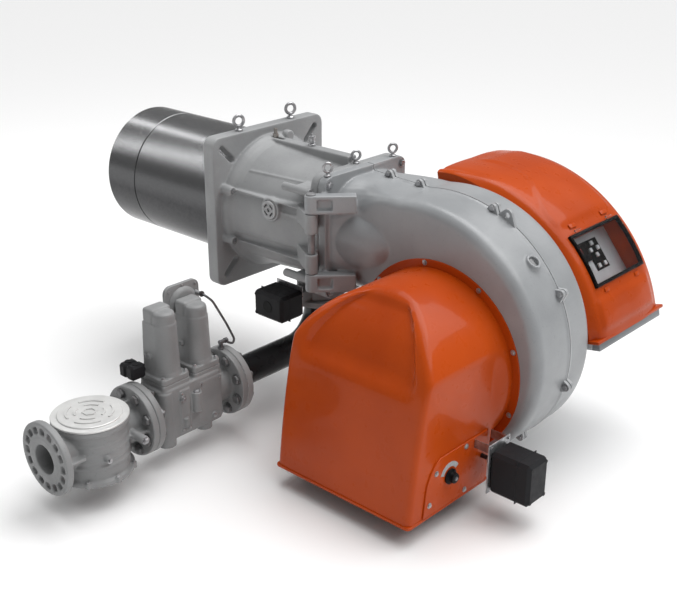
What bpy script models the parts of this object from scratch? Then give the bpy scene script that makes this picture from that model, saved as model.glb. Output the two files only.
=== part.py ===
# Industrial gas burner with its gas train, in metres, +Z up.
# The origin is the centre of the boiler flange's boiler-side face. +X runs along the burner's axis
# away from the boiler, +Y towards the fan motor, and the gas train comes in from -Y.

import math

import bmesh
import bpy
from mathutils import Matrix, Vector

# Clearances
SEAT_GAP = 0.0003
RUNNING_GAP = 0.0004
BOLT_SINK = 0.0012

# Boiler flange and burner head
FLANGE_SIDE = 0.460
FLANGE_THICKNESS = 0.045
FLANGE_CORNER = 0.030
SLOT_OFFSET = 0.175
SLOT_WIDTH = 0.020
SLOT_LENGTH = 0.074
HEAD_LENGTH = 0.408
HEAD_RADIUS = 0.188
HEAD_ROOT_RADIUS = 0.206
HEAD_BORE = 0.172
NECK_HALF_WIDTH = 0.172
NECK_HALF_HEIGHT = 0.180
NECK_FLANGE_THICKNESS = 0.027
NECK_CORNER = 0.030
NECK_JOINT_GAP = 0.0006

# Blast tube
TUBE_RADIUS = 0.196
TUBE_WALL = 0.004
TUBE_LENGTH = 0.385
END_RING_LENGTH = 0.138
TUBE_SOCKET_DEPTH = 0.020

# Hinge between head and fan housing
PIN_X = 0.4185
PIN_Y = -0.210
PIN_RADIUS = 0.010
PIN_HEAD_RADIUS = 0.0135
KNUCKLE_RADIUS = 0.018
ARM_HEIGHT = 0.052
ARM_LEVEL = 0.114
BARREL_LENGTH = 0.058
ARM_END_X = 0.506

# Fan housing
FAN_X = 0.790
FAN_Z = -0.255
HOUSING_FRONT = -0.115
HOUSING_REAR = 0.140
HOUSING_SEAM = 0.030
HOUSING_WALL = 0.006
HOUSING_EDGE = 0.030
SCROLL_START_RADIUS = 0.275
SCROLL_GROWTH = 0.158
SCROLL_POWER = 2.6
SCROLL_STEPS = 24
SCROLL_OPEN_ANGLE = 110.0
DUCT_TOP = 0.152
DUCT_BOTTOM = -0.165
DUCT_END_X = 0.600
TONGUE_CLEARANCE = 0.010
SEAM_RIB_WIDTH = 0.010
SEAM_RIB_HEIGHT = 0.006

# Impeller and its shaft
IMPELLER_RADIUS = 0.232
EYE_RADIUS = 0.155
IMPELLER_FRONT = -0.086
IMPELLER_TIP_FRONT = -0.045
IMPELLER_BACK = 0.098
IMPELLER_PLATE = 0.004
BLADE_COUNT = 10
BLADE_ANGLE = 36.0
BLADE_THICKNESS = 0.005
SHAFT_RADIUS = 0.019
HUB_RADIUS = 0.038
CONE_CLEARANCE = 0.005
INLET_HOLE_RADIUS = 0.205

# Fan motor
MOTOR_RADIUS = 0.104
MOTOR_FIN_HEIGHT = 0.012
MOTOR_FIN_COUNT = 12
MOTOR_LENGTH = 0.230
MOTOR_FLANGE_RADIUS = 0.150
MOTOR_FLANGE_THICKNESS = 0.014
MOTOR_BORE = 0.086
COWL_LENGTH = 0.075
COWL_WALL = 0.003

# Air hood
HOOD_RADIUS = 0.250
HOOD_FLANGE_RADIUS = 0.272
HOOD_HALF_WIDTH = 0.2275
HOOD_BOTTOM = -0.520
HOOD_FRONT = -0.500
HOOD_WALL = 0.003
HOOD_NECK_LENGTH = 0.010
HOOD_BLEND_LENGTH = 0.055
HOOD_EDGE = 0.022
HOOD_LIP = 0.009
RECESS_DEPTH = 0.014

# Air dampers in the hood's mouth
DAMPER_LEVEL = -0.430
DAMPER_REAR_Y = -0.210
DAMPER_FRONT_Y = -0.345
DAMPER_THICKNESS = 0.004
DAMPER_SHAFT_RADIUS = 0.006
SIDE_PANEL_WALL = 0.004

# Servos, black moulded boxes with their fixing plates
AIR_SERVO_SIZE = (0.120, 0.085, 0.118)
AIR_SERVO_X = 1.070
GAS_SERVO_SIZE = (0.120, 0.095, 0.082)
GAS_SERVO_Y = -0.110

# Control panel behind the fan housing
PANEL_AXIS_X = 0.660
PANEL_AXIS_Z = -0.310
PANEL_RADIUS = 0.455
PANEL_CROWN = 0.030
PANEL_WALL = 0.004
PANEL_NEAR = 0.146
PANEL_FAR = 0.496
PANEL_LOW_ANGLE = 12.5
PANEL_HIGH_ANGLE = 100.5
WINDOW_LOW_ANGLE = 29.5
WINDOW_HIGH_ANGLE = 48.0
WINDOW_NEAR = 0.190
WINDOW_FAR = 0.440
WINDOW_DEPTH = 0.060
WINDOW_FRAME_WIDTH = 0.009
WINDOW_FRAME_HEIGHT = 0.005

# Gas train, standard flanges for an 80 mm pipe
TRAIN_X = 0.243
TRAIN_Z = -0.410
PIPE_RADIUS = 0.04445
PIPE_WALL = 0.0032
DN_FLANGE_RADIUS = 0.100
DN_FLANGE_THICKNESS = 0.020
DN_BOLT_CIRCLE = 0.080
DN_BOLT_COUNT = 8
DN_HOLE_RADIUS = 0.009
DN_BORE = 0.040
ELBOW_RADIUS = 0.114
VALVE_LENGTH = 0.319
VALVE_SPACING = 0.110
VALVE_MIDDLE_Y = -0.5525
FILTER_LENGTH = 0.290
FILTER_RADIUS = 0.095
FILTER_COVER_RADIUS = 0.1015
FILTER_TOP = -0.342
FILTER_BASE = -0.500
ACTUATOR_HEIGHT = 0.205
ACTUATOR_SEAT_Z = -0.326
BUTTERFLY_Z = -0.238
BUTTERFLY_HEIGHT = 0.046
BUTTERFLY_RADIUS = 0.066
HEAD_INLET_FACE = -0.2147

# Gas lance and flame disc in the head
LANCE_RADIUS = 0.042
FLAME_DISC_X = -0.455
FLAME_DISC_RADIUS = 0.150
HEAD_TRAVEL = 0.030

AXIS_TURN = {
    "X": Matrix.Rotation(math.radians(90), 4, "Y"),
    "-X": Matrix.Rotation(math.radians(-90), 4, "Y"),
    "Y": Matrix.Rotation(math.radians(-90), 4, "X"),
    "-Y": Matrix.Rotation(math.radians(90), 4, "X"),
    "Z": Matrix.Identity(4),
    "-Z": Matrix.Rotation(math.radians(180), 4, "X"),
}


def clear_scene():
    for old in list(bpy.data.objects):
        bpy.data.objects.remove(old, do_unlink=True)


def make_material(name, colour, roughness, metallic):
    material = bpy.data.materials.new(name)
    material.use_nodes = True
    shader = material.node_tree.nodes["Principled BSDF"]
    shader.inputs["Base Color"].default_value = (*colour, 1.0)
    shader.inputs["Roughness"].default_value = roughness
    shader.inputs["Metallic"].default_value = metallic
    material.diffuse_color = (*colour, 1.0)
    return material


def mesh_from(bm, name, smooth):
    bmesh.ops.recalc_face_normals(bm, faces=bm.faces)
    mesh = bpy.data.meshes.new(name)
    bm.to_mesh(mesh)
    bm.free()
    if smooth:
        mesh.shade_smooth()
        mesh.set_sharp_from_angle(angle=math.radians(35))
    return mesh


def add_piece(name, bm, material, smooth=True):
    """One physical piece: an object with its own material."""
    piece = bpy.data.objects.new(name, mesh_from(bm, name, smooth))
    piece.data.materials.append(material)
    bpy.context.scene.collection.objects.link(piece)
    return piece


def add_guide(name, bm):
    """A hidden shape that a Boolean adds or takes away."""
    guide = bpy.data.objects.new(name, mesh_from(bm, name, False))
    guide.hide_render = True
    guide.display_type = "WIRE"
    bpy.context.scene.collection.objects.link(guide)
    return guide


def combine(piece, guide, operation):
    modifier = piece.modifiers.new(operation.lower(), "BOOLEAN")
    modifier.operation = operation
    modifier.object = guide
    modifier.solver = "EXACT"


def fuse(piece, bm):
    combine(piece, add_guide(piece.name + "_add", bm), "UNION")


def carve(piece, bm):
    combine(piece, add_guide(piece.name + "_cut", bm), "DIFFERENCE")


def carry(parent_name, location, pieces):
    """An empty on a joint's axis that carries the moving pieces."""
    empty = bpy.data.objects.new(parent_name, None)
    empty.location = location
    bpy.context.scene.collection.objects.link(empty)
    for piece in pieces:
        piece.parent = empty
        piece.matrix_parent_inverse = Matrix.Translation(-Vector(location))
    return empty


def box(low, high):
    bm = bmesh.new()
    bmesh.ops.create_cube(bm, size=1.0)
    size = [h - l for l, h in zip(low, high)]
    centre = [(h + l) / 2 for l, h in zip(low, high)]
    bmesh.ops.scale(bm, vec=size, verts=bm.verts)
    bmesh.ops.translate(bm, vec=centre, verts=bm.verts)
    return bm


def soft_box(low, high, radius, segments=2):
    bm = box(low, high)
    bmesh.ops.bevel(bm, geom=bm.edges[:], offset=radius, offset_type="OFFSET", segments=segments,
                    profile=0.5, affect="EDGES", material=-1)
    return bm


def gather(*parts):
    """Several separate solids in one mesh."""
    whole = bmesh.new()
    for part in parts:
        mesh = bpy.data.meshes.new("part")
        bmesh.ops.recalc_face_normals(part, faces=part.faces)
        part.to_mesh(mesh)
        part.free()
        whole.from_mesh(mesh)
        bpy.data.meshes.remove(mesh)
    return whole


def turned(profile, axis, centre, steps=32):
    """A profile of (radius, height) points turned round an axis through centre."""
    bm = bmesh.new()
    verts = [bm.verts.new((max(r, 0.0), 0.0, h)) for r, h in profile]
    edges = [bm.edges.new((a, b)) for a, b in zip(verts, verts[1:])]
    if profile[0][0] > 0.0:
        edges.append(bm.edges.new((verts[-1], verts[0])))
    bmesh.ops.spin(bm, geom=verts + edges, cent=(0, 0, 0), axis=(0, 0, 1), angle=math.tau,
                   steps=steps, use_merge=True)
    bmesh.ops.remove_doubles(bm, verts=bm.verts, dist=1e-6)
    flat_ends = [h for (r, h), (_, beside) in ((profile[0], profile[1]), (profile[-1], profile[-2]))
                 if r == 0.0 and h == beside]
    hubs = [v for v in bm.verts if v.co.xy.length < 1e-7 and any(abs(v.co.z - h) < 1e-7 for h in flat_ends)]
    bmesh.ops.dissolve_verts(bm, verts=hubs)
    place = Matrix.Translation(centre) @ AXIS_TURN[axis] @ Matrix.Rotation(math.pi / steps, 4, "Z")
    bmesh.ops.transform(bm, matrix=place, verts=bm.verts)
    return bm


def rod(radius, low, high, axis, centre, steps=24):
    return turned([(0, low), (radius, low), (radius, high), (0, high)], axis, centre, steps)


def tube(outer, inner, low, high, axis, centre, steps=32):
    profile = [(inner, low), (outer, low), (outer, high), (inner, high)]
    return turned(profile, axis, centre, steps)


def loft(rings):
    """Closed solid through rings of points, every ring with the same number of them."""
    bm = bmesh.new()
    loops = [[bm.verts.new(point) for point in ring] for ring in rings]
    count = len(loops[0])
    for first, second in zip(loops, loops[1:]):
        for i in range(count):
            j = (i + 1) % count
            bm.faces.new((first[i], first[j], second[j], second[i]))
    bm.faces.new(loops[0][::-1])
    bm.faces.new(loops[-1])
    return bm


def prism(points, low, high, axis):
    """A flat outline pushed along one axis. Outline points are (y, z), (x, z) or (x, y)."""
    bm = bmesh.new()
    place = {"X": lambda u, v: (low, u, v), "Y": lambda u, v: (u, low, v), "Z": lambda u, v: (u, v, low)}
    push = {"X": (high - low, 0, 0), "Y": (0, high - low, 0), "Z": (0, 0, high - low)}
    face = bm.faces.new([bm.verts.new(place[axis](u, v)) for u, v in points])
    made = bmesh.ops.extrude_face_region(bm, geom=[face])
    moved = [item for item in made["geom"] if isinstance(item, bmesh.types.BMVert)]
    bmesh.ops.translate(bm, vec=push[axis], verts=moved)
    bmesh.ops.recalc_face_normals(bm, faces=bm.faces)
    return bm


def arc(centre, radius, start, end, steps):
    """Points along an arc, angles in degrees."""
    points = []
    for step in range(steps + 1):
        angle = math.radians(start + (end - start) * step / steps)
        points.append((centre[0] + radius * math.cos(angle), centre[1] + radius * math.sin(angle)))
    return points


def rounded_rectangle(half_u, half_v, radius, centre=(0.0, 0.0), steps=4):
    points = []
    for quadrant, (su, sv) in enumerate(((1, 1), (-1, 1), (-1, -1), (1, -1))):
        corner = (centre[0] + su * (half_u - radius), centre[1] + sv * (half_v - radius))
        points += arc(corner, radius, 90 * quadrant, 90 * quadrant + 90, steps)
    return points


def slot_outline(centre, angle, length, width, steps=4):
    half = (length - width) / 2
    run = math.radians(angle)
    ends = []
    for sign, start in ((1, -90), (-1, 90)):
        end = (centre[0] + sign * half * math.cos(run), centre[1] + sign * half * math.sin(run))
        ends += arc(end, width / 2, angle + start, angle + start + 180, steps)
    return ends


def bolt_head(seat, axis, across, height):
    """Hexagon head standing on a face, its foot sunk a little so that it joins the piece."""
    corner = across / math.sqrt(3)
    return turned([(0, -BOLT_SINK), (corner, -BOLT_SINK), (corner, height), (0, height)], axis, seat, 6)


def circle_places(count, radius, offset=0.0):
    step = math.tau / count
    return [(radius * math.cos(i * step + offset), radius * math.sin(i * step + offset)) for i in range(count)]


def eye_ring(base, size, turn):
    """Ring of a lifting eye, its plane turned about Z."""
    ring = bmesh.new()
    major = size * 0.36
    minor = size * 0.085
    loop = [ring.verts.new((major + minor * math.cos(a), 0, minor * math.sin(a)))
            for a in (i * math.tau / 5 for i in range(5))]
    edges = [ring.edges.new((loop[i], loop[(i + 1) % 5])) for i in range(5)]
    bmesh.ops.spin(ring, geom=loop + edges, cent=(0, 0, 0), axis=(0, 0, 1), angle=math.tau, steps=10,
                   use_merge=True)
    lift = size * 0.30 + major
    place = (Matrix.Translation((base[0], base[1], base[2] + lift)) @ Matrix.Rotation(turn, 4, "Z")
             @ Matrix.Rotation(math.radians(90), 4, "X"))
    bmesh.ops.transform(ring, matrix=place, verts=ring.verts)
    return ring


def eye_collar(base, size):
    """Collar that the ring of a lifting eye stands on."""
    return turned([(0, SEAT_GAP), (size * 0.26, SEAT_GAP), (size * 0.26, size * 0.10),
                   (size * 0.13, size * 0.18), (size * 0.13, size * 0.34), (0, size * 0.34)], "Z", base, 8)


def add_eye_bolt(name, base, size, turn):
    """A lifting eye, its ring turned about Z by an angle in degrees."""
    eye = add_piece(name, eye_ring(base, size, math.radians(turn)), BARE_STEEL)
    fuse(eye, eye_collar(base, size))


clear_scene()

# Colours seen on the real burner
ORANGE = make_material("orange_paint", (0.78, 0.11, 0.02), 0.28, 0.0)
CAST_GREY = make_material("cast_grey_paint", (0.32, 0.33, 0.34), 0.45, 0.1)
TRAIN_GREY = make_material("train_grey_casting", (0.27, 0.28, 0.29), 0.50, 0.2)
GALVANISED = make_material("galvanised_sheet", (0.16, 0.16, 0.17), 0.35, 0.8)
BARE_STEEL = make_material("bare_steel", (0.55, 0.56, 0.58), 0.30, 0.9)
LID_METAL = make_material("pale_lid_metal", (0.72, 0.73, 0.74), 0.35, 0.6)
BLACK_PLASTIC = make_material("black_plastic", (0.012, 0.012, 0.012), 0.45, 0.0)
BLACK_PAINT = make_material("black_pipe_paint", (0.02, 0.02, 0.022), 0.30, 0.0)
PANEL_GREY = make_material("panel_grey_sheet", (0.30, 0.31, 0.32), 0.50, 0.2)
PALE_KEYS = make_material("pale_key_plastic", (0.75, 0.76, 0.77), 0.40, 0.0)
CLEAR = make_material("clear_plastic", (0.80, 0.85, 0.88), 0.10, 0.0)
CERAMIC = make_material("white_ceramic", (0.80, 0.78, 0.72), 0.30, 0.0)
MOTOR_BLUE_GREY = make_material("motor_grey_paint", (0.20, 0.22, 0.24), 0.45, 0.1)


# Burner head: one casting with the square boiler flange, the round barrel and the neck flange
def head_barrel_shape():
    root = FLANGE_THICKNESS
    neck = HEAD_LENGTH - NECK_FLANGE_THICKNESS / 2
    return turned([(0, root / 2), (HEAD_ROOT_RADIUS, root / 2), (HEAD_ROOT_RADIUS, root + 0.012),
                   (HEAD_RADIUS + 0.006, root + 0.030), (HEAD_RADIUS, root + 0.050),
                   (HEAD_RADIUS - 0.020, neck), (0, neck)], "X", (0, 0, 0), 32)


def head_bore_shape():
    return turned([(0, -0.01), (TUBE_RADIUS + SEAT_GAP, -0.01), (TUBE_RADIUS + SEAT_GAP, TUBE_SOCKET_DEPTH),
                   (HEAD_BORE, TUBE_SOCKET_DEPTH), (HEAD_BORE, HEAD_LENGTH * 0.55),
                   (HEAD_BORE - 0.022, HEAD_LENGTH + 0.01), (0, HEAD_LENGTH + 0.01)], "X", (0, 0, 0), 32)


def hinge_barrel_levels():
    top = ARM_LEVEL - ARM_HEIGHT / 2 - RUNNING_GAP
    return [(top - BARREL_LENGTH, top), (-top, -top + BARREL_LENGTH)]


NECK_BACK = HEAD_LENGTH - NECK_FLANGE_THICKNESS
TOP_BAR_HEIGHT = 0.200
TOP_BAR_HALF_WIDTH = 0.018
ADJUSTER_X = 0.070
ADJUSTER_STUD_RADIUS = 0.0056
TAP_X = 0.222
PLUG_X = 0.230
PLUG_Z = 0.050
PLUG_RADIUS = 0.027
PLUG_FACE_Y = -0.187
SIDE_BOSS_LEVEL = 0.130
SIDE_BOSS_Y = -0.176
SIDE_BOSS_RADIUS = 0.012
SIDE_BOSS_START = 0.279
RIB_LEVEL = 0.077
RIB_Y = 0.183
ROOT_BOSS_RADIUS = 0.013
INLET_NECK_RADIUS = 0.052
INLET_FLANGE_THICKNESS = 0.016

head = add_piece("head_casting", prism(rounded_rectangle(FLANGE_SIDE / 2, FLANGE_SIDE / 2, FLANGE_CORNER),
                                       0.0, FLANGE_THICKNESS, "X"), CAST_GREY)
fuse(head, head_barrel_shape())
fuse(head, prism(rounded_rectangle(NECK_HALF_WIDTH, NECK_HALF_HEIGHT, NECK_CORNER), NECK_BACK,
                 HEAD_LENGTH, "X"))
fuse(head, box((FLANGE_THICKNESS - 0.01, -TOP_BAR_HALF_WIDTH, HEAD_BORE - 0.02),
               (NECK_BACK + 0.001, TOP_BAR_HALF_WIDTH, TOP_BAR_HEIGHT)))
for level in (-RIB_LEVEL, RIB_LEVEL):
    fuse(head, box((FLANGE_THICKNESS - 0.01, -RIB_Y, level - 0.005),
                   (NECK_BACK + 0.005, RIB_Y, level + 0.005)))
fuse(head, gather(*[rod(ROOT_BOSS_RADIUS, FLANGE_THICKNESS - 0.01, FLANGE_THICKNESS + 0.042, "X",
                        (0, y, z), 8)
                    for y in (-RIB_Y - 0.012, RIB_Y + 0.012) for z in (-RIB_LEVEL, RIB_LEVEL)]))
for side in (-1, 1):
    fuse(head, rod(SIDE_BOSS_RADIUS, SIDE_BOSS_START, NECK_BACK + 0.005, "X",
                   (0, SIDE_BOSS_Y, side * SIDE_BOSS_LEVEL), 8))
    fuse(head, box((SIDE_BOSS_START + 0.03, SIDE_BOSS_Y, side * SIDE_BOSS_LEVEL - 0.005),
                   (NECK_BACK + 0.005, SIDE_BOSS_Y + 0.08, side * SIDE_BOSS_LEVEL + 0.005)))
for low, high in hinge_barrel_levels():
    web = [(HEAD_LENGTH, PIN_Y + KNUCKLE_RADIUS - 0.003), (PIN_X - KNUCKLE_RADIUS * 0.9, PIN_Y - 0.008),
           (NECK_BACK - 0.060, -NECK_HALF_WIDTH + 0.004), (NECK_BACK - 0.060, -NECK_HALF_WIDTH + 0.040),
           (HEAD_LENGTH, -NECK_HALF_WIDTH + 0.040)]
    fuse(head, prism(web[::-1], low + 0.004, high - 0.004, "Z"))
    fuse(head, rod(KNUCKLE_RADIUS, low, high, "Z", (PIN_X, PIN_Y, 0), 20))
fuse(head, rod(INLET_NECK_RADIUS, HEAD_INLET_FACE + 0.004, -HEAD_BORE + 0.012, "Z", (TRAIN_X, 0, 0), 16))
fuse(head, rod(BUTTERFLY_RADIUS, HEAD_INLET_FACE, HEAD_INLET_FACE + INLET_FLANGE_THICKNESS, "Z",
               (TRAIN_X, 0, 0), 24))
fuse(head, rod(PLUG_RADIUS + 0.008, PLUG_FACE_Y, -HEAD_BORE + 0.006, "Y", (PLUG_X, 0, PLUG_Z), 16))
carve(head, head_bore_shape())
carve(head, rod(DN_BORE, HEAD_INLET_FACE - 0.01, -HEAD_BORE + 0.08, "Z", (TRAIN_X, 0, 0), 24))
carve(head, gather(*[prism(slot_outline((sy * SLOT_OFFSET, sz * SLOT_OFFSET), 45 * sy * sz, SLOT_LENGTH,
                                        SLOT_WIDTH, 2), -0.01, FLANGE_THICKNESS + 0.01, "X")
                     for sy in (-1, 1) for sz in (-1, 1)]))
carve(head, rod(PIN_RADIUS + RUNNING_GAP, -ARM_LEVEL, ARM_LEVEL, "Z", (PIN_X, PIN_Y, 0), 16))
carve(head, box((ADJUSTER_X - 0.008, -0.007, HEAD_BORE - 0.03),
                (ADJUSTER_X + HEAD_TRAVEL + 0.008, 0.007, TOP_BAR_HEIGHT + 0.02)))
carve(head, rod(PLUG_RADIUS + SEAT_GAP, PLUG_FACE_Y - 0.01, PLUG_FACE_Y + 0.008, "Y", (PLUG_X, 0, PLUG_Z), 16))
carve(head, gather(*[rod(0.006, SIDE_BOSS_START - 0.01, SIDE_BOSS_START + 0.030, "X",
                         (0, SIDE_BOSS_Y, side * SIDE_BOSS_LEVEL), 8) for side in (-1, 1)]))

plug = add_piece("inspection_plug", turned(
    [(0, 0.0), (PLUG_RADIUS, 0.0), (PLUG_RADIUS, -0.009), (PLUG_RADIUS - 0.003, -0.012), (0, -0.012)],
    "Y", (PLUG_X, PLUG_FACE_Y + 0.0077, PLUG_Z), 16), CAST_GREY)
carve(plug, gather(*[prism(slot_outline((PLUG_X + 0.015 * math.cos(a), PLUG_Z + 0.015 * math.sin(a)),
                                        math.degrees(a) + 90, 0.016, 0.005, 2),
                           PLUG_FACE_Y - 0.02, PLUG_FACE_Y + 0.0007, "Y")
                     for a in (math.radians(45 + 90 * k) for k in range(4))]))

TAP_BASE = (TAP_X, 0, TOP_BAR_HEIGHT + SEAT_GAP)
tap = add_piece("pressure_tap", turned(
    [(0, 0), (0.011, 0), (0.011, 0.006), (0.007, 0.009), (0.007, 0.022), (0.010, 0.022), (0.010, 0.029),
     (0.004, 0.031), (0.004, 0.036), (0, 0.036)], "Z", TAP_BASE, 12), BARE_STEEL)
fuse(tap, rod(0.003, -0.012, 0.012, "Y", (TAP_X, 0, TAP_BASE[2] + 0.026), 8))

add_piece("hinge_pin", turned(
    [(0, -ARM_LEVEL - ARM_HEIGHT / 2 - 0.004), (PIN_RADIUS, -ARM_LEVEL - ARM_HEIGHT / 2 - 0.004),
     (PIN_RADIUS, ARM_LEVEL + ARM_HEIGHT / 2 + SEAT_GAP),
     (PIN_HEAD_RADIUS, ARM_LEVEL + ARM_HEIGHT / 2 + SEAT_GAP),
     (PIN_HEAD_RADIUS, ARM_LEVEL + ARM_HEIGHT / 2 + 0.004), (0, ARM_LEVEL + ARM_HEIGHT / 2 + 0.005)],
    "Z", (PIN_X, PIN_Y, 0), 16), BARE_STEEL)

FLANGE_EYE_SIZE = 0.045
NECK_EYE_SIZE = 0.036
add_eye_bolt("flange_eye_bolt_near", (FLANGE_THICKNESS / 2, -0.105, FLANGE_SIDE / 2), FLANGE_EYE_SIZE, 70)
add_eye_bolt("flange_eye_bolt_far", (FLANGE_THICKNESS / 2, 0.111, FLANGE_SIDE / 2), FLANGE_EYE_SIZE, 70)
add_eye_bolt("neck_eye_bolt", (HEAD_LENGTH - NECK_FLANGE_THICKNESS / 2, 0.0, NECK_HALF_HEIGHT), NECK_EYE_SIZE,
             60)


# Fan housing: a spiral case in two halves, with its neck, flange, seam rib and hinge arms
def scroll_outline(offset=0.0):
    """Outline of the spiral in x and z, from the tongue round to the top of its neck."""
    start = SCROLL_START_RADIUS + offset
    tongue = 180 - math.degrees(math.asin((DUCT_BOTTOM - offset - FAN_Z) / start))
    points = arc((FAN_X, FAN_Z), start, tongue, 180, 2)[:-1]
    for step in range(SCROLL_STEPS + 1):
        part = step / SCROLL_STEPS
        angle = math.radians(-180 + (180 + SCROLL_OPEN_ANGLE) * part)
        radius = start + SCROLL_GROWTH * part ** SCROLL_POWER
        points.append((FAN_X + radius * math.cos(angle), FAN_Z + radius * math.sin(angle)))
    points.append((DUCT_END_X, DUCT_TOP + offset))
    points.append((DUCT_END_X, DUCT_BOTTOM - offset))
    return points


def scroll_shape(offset, edge_segments):
    bm = prism(scroll_outline(-offset), HOUSING_FRONT + offset, HOUSING_REAR - offset, "Y")
    rims = [e for e in bm.edges if abs(e.verts[0].co.y - e.verts[1].co.y) < 1e-6
            and max(e.verts[0].co.x, e.verts[1].co.x) != min(e.verts[0].co.x, e.verts[1].co.x)]
    bmesh.ops.bevel(bm, geom=rims, offset=HOUSING_EDGE - offset, offset_type="OFFSET",
                    segments=edge_segments, profile=0.5, affect="EDGES", material=-1)
    return bm


def neck_shape(offset, start_x):
    """Neck from the round joint at the head to the flat-sided mouth of the spiral."""
    rings = []
    for step in range(5):
        part = step / 4
        ease = part * part * (3 - 2 * part)
        front_part = min(part * NECK_FRONT_RATE, 1.0)
        front_ease = front_part * front_part * (3 - 2 * front_part)
        low_y = -NECK_ROUND_HALF_WIDTH + front_ease * (HOUSING_FRONT + NECK_ROUND_HALF_WIDTH) + offset
        high_y = NECK_ROUND_HALF_WIDTH + ease * (HOUSING_REAR - NECK_ROUND_HALF_WIDTH) - offset
        low_z = -NECK_ROUND_HALF_HEIGHT + ease * (DUCT_BOTTOM + NECK_ROUND_HALF_HEIGHT) + offset
        high_z = NECK_ROUND_HALF_HEIGHT + ease * (DUCT_TOP - NECK_ROUND_HALF_HEIGHT) - offset
        corner = NECK_ROUND_CORNER + ease * (HOUSING_EDGE - NECK_ROUND_CORNER)
        x = NECK_START_X + (DUCT_END_X - NECK_START_X) * part
        outline = rounded_rectangle((high_y - low_y) / 2, (high_z - low_z) / 2, corner,
                                    ((high_y + low_y) / 2, (high_z + low_z) / 2), 4)
        rings.append([(x, y, z) for y, z in outline])
    first = [(start_x, y, z) for x, y, z in rings[0]]
    last = [(DUCT_END_X + 0.020, y, z) for x, y, z in rings[-1]]
    return loft([first] + rings[(start_x >= NECK_START_X):] + [last])


def rim_point(angle, outward):
    """Point on the spiral's rim at an angle in degrees, moved outward."""
    part = (angle + 180) / (180 + SCROLL_OPEN_ANGLE)
    radius = SCROLL_START_RADIUS + SCROLL_GROWTH * part ** SCROLL_POWER + outward
    return (FAN_X + radius * math.cos(math.radians(angle)), FAN_Z + radius * math.sin(math.radians(angle)))


NECK_START_X = 0.435
NECK_ROUND_HALF_WIDTH = 0.158
NECK_ROUND_HALF_HEIGHT = 0.160
NECK_ROUND_CORNER = 0.120
NECK_STEP = 0.0005
NECK_FRONT_RATE = 2.0
NECK_FACE_X = HEAD_LENGTH + NECK_JOINT_GAP
LUG_RADIUS = 0.013
LUG_HALF_DEPTH = 0.015
LUG_ANGLES = (80.8, 37.3, -6.0, -49.6, -98.0, -146.0)
NECK_LUGS = ((0.609, 0.158), (0.500, 0.160), (0.470, -0.168))
NECK_BOLT_Y = 0.154
NECK_BOLT_Z = 0.158
SEAM_BOLT_ACROSS = 0.013
SEAM_BOLT_HEAD = 0.006
NECK_BOLT_ACROSS = 0.017
NECK_BOLT_HEAD = 0.008
MOTOR_SPIGOT_RADIUS = 0.120
SIGHT_RADIUS = 0.020
SIGHT_ANGLE = 53.6
SIGHT_Y = -0.012

LUGS = [rim_point(angle, 0.006) for angle in LUG_ANGLES] + list(NECK_LUGS)
LUG_FRONT = HOUSING_SEAM - LUG_HALF_DEPTH
LUG_REAR = HOUSING_SEAM + LUG_HALF_DEPTH

volute = add_guide("volute_shape", scroll_shape(0.0, 2))
fuse(volute, neck_shape(NECK_STEP, NECK_START_X - 0.010))
fuse(volute, prism(rounded_rectangle(NECK_HALF_WIDTH, NECK_HALF_HEIGHT, NECK_CORNER), NECK_FACE_X,
                   NECK_START_X, "X"))
fuse(volute, prism(scroll_outline(SEAM_RIB_HEIGHT), HOUSING_SEAM - SEAM_RIB_WIDTH,
                   HOUSING_SEAM + SEAM_RIB_WIDTH, "Y"))
fuse(volute, gather(box((NECK_START_X - 0.01, HOUSING_SEAM - SEAM_RIB_WIDTH, DUCT_TOP - 0.02),
                        (DUCT_END_X + 0.01, HOUSING_SEAM + SEAM_RIB_WIDTH, NECK_LUGS[1][1] + 0.007)),
                    box((NECK_START_X - 0.01, HOUSING_SEAM - SEAM_RIB_WIDTH, NECK_LUGS[2][1] - 0.004),
                        (0.535, HOUSING_SEAM + SEAM_RIB_WIDTH, DUCT_BOTTOM + 0.02))))
fuse(volute, gather(*[rod(LUG_RADIUS, LUG_FRONT, LUG_REAR, "Y", (x, 0, z), 8) for x, z in LUGS]))
ALONG = Vector((math.sqrt(0.5), math.sqrt(0.5)))
ACROSS = Vector((math.sqrt(0.5), -math.sqrt(0.5)))
PIN_PLACE = Vector((PIN_X, PIN_Y))
ARM_LENGTH = (ARM_END_X - PIN_X) * math.sqrt(2)


def arm_plan(start, end, inner, outer):
    corners = ((start, outer), (end, outer), (end, inner), (start, inner))
    return [tuple(PIN_PLACE + ALONG * along + ACROSS * across) for along, across in corners]


for side in (-1, 1):
    low = side * ARM_LEVEL - ARM_HEIGHT / 2
    high = side * ARM_LEVEL + ARM_HEIGHT / 2
    fuse(volute, prism(arm_plan(0.0, ARM_LENGTH, -KNUCKLE_RADIUS, KNUCKLE_RADIUS), low, high, "Z"))
    fuse(volute, rod(KNUCKLE_RADIUS, low, high, "Z", (PIN_X, PIN_Y, 0), 20))
    carve(volute, prism(arm_plan(0.026, 0.078, KNUCKLE_RADIUS - 0.014, KNUCKLE_RADIUS + 0.02),
                        low + 0.011, high - 0.011, "Z"))
carve(volute, scroll_shape(HOUSING_WALL, 1))
carve(volute, neck_shape(HOUSING_WALL + NECK_STEP, NECK_FACE_X - 0.010))
carve(volute, rod(IMPELLER_RADIUS + TONGUE_CLEARANCE, HOUSING_FRONT + HOUSING_WALL + 0.001,
                  HOUSING_REAR - HOUSING_WALL - 0.001, "Y", (FAN_X, 0, FAN_Z), 24))
carve(volute, rod(INLET_HOLE_RADIUS, HOUSING_FRONT - 0.01, HOUSING_FRONT + 0.02, "Y", (FAN_X, 0, FAN_Z), 24))
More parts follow.
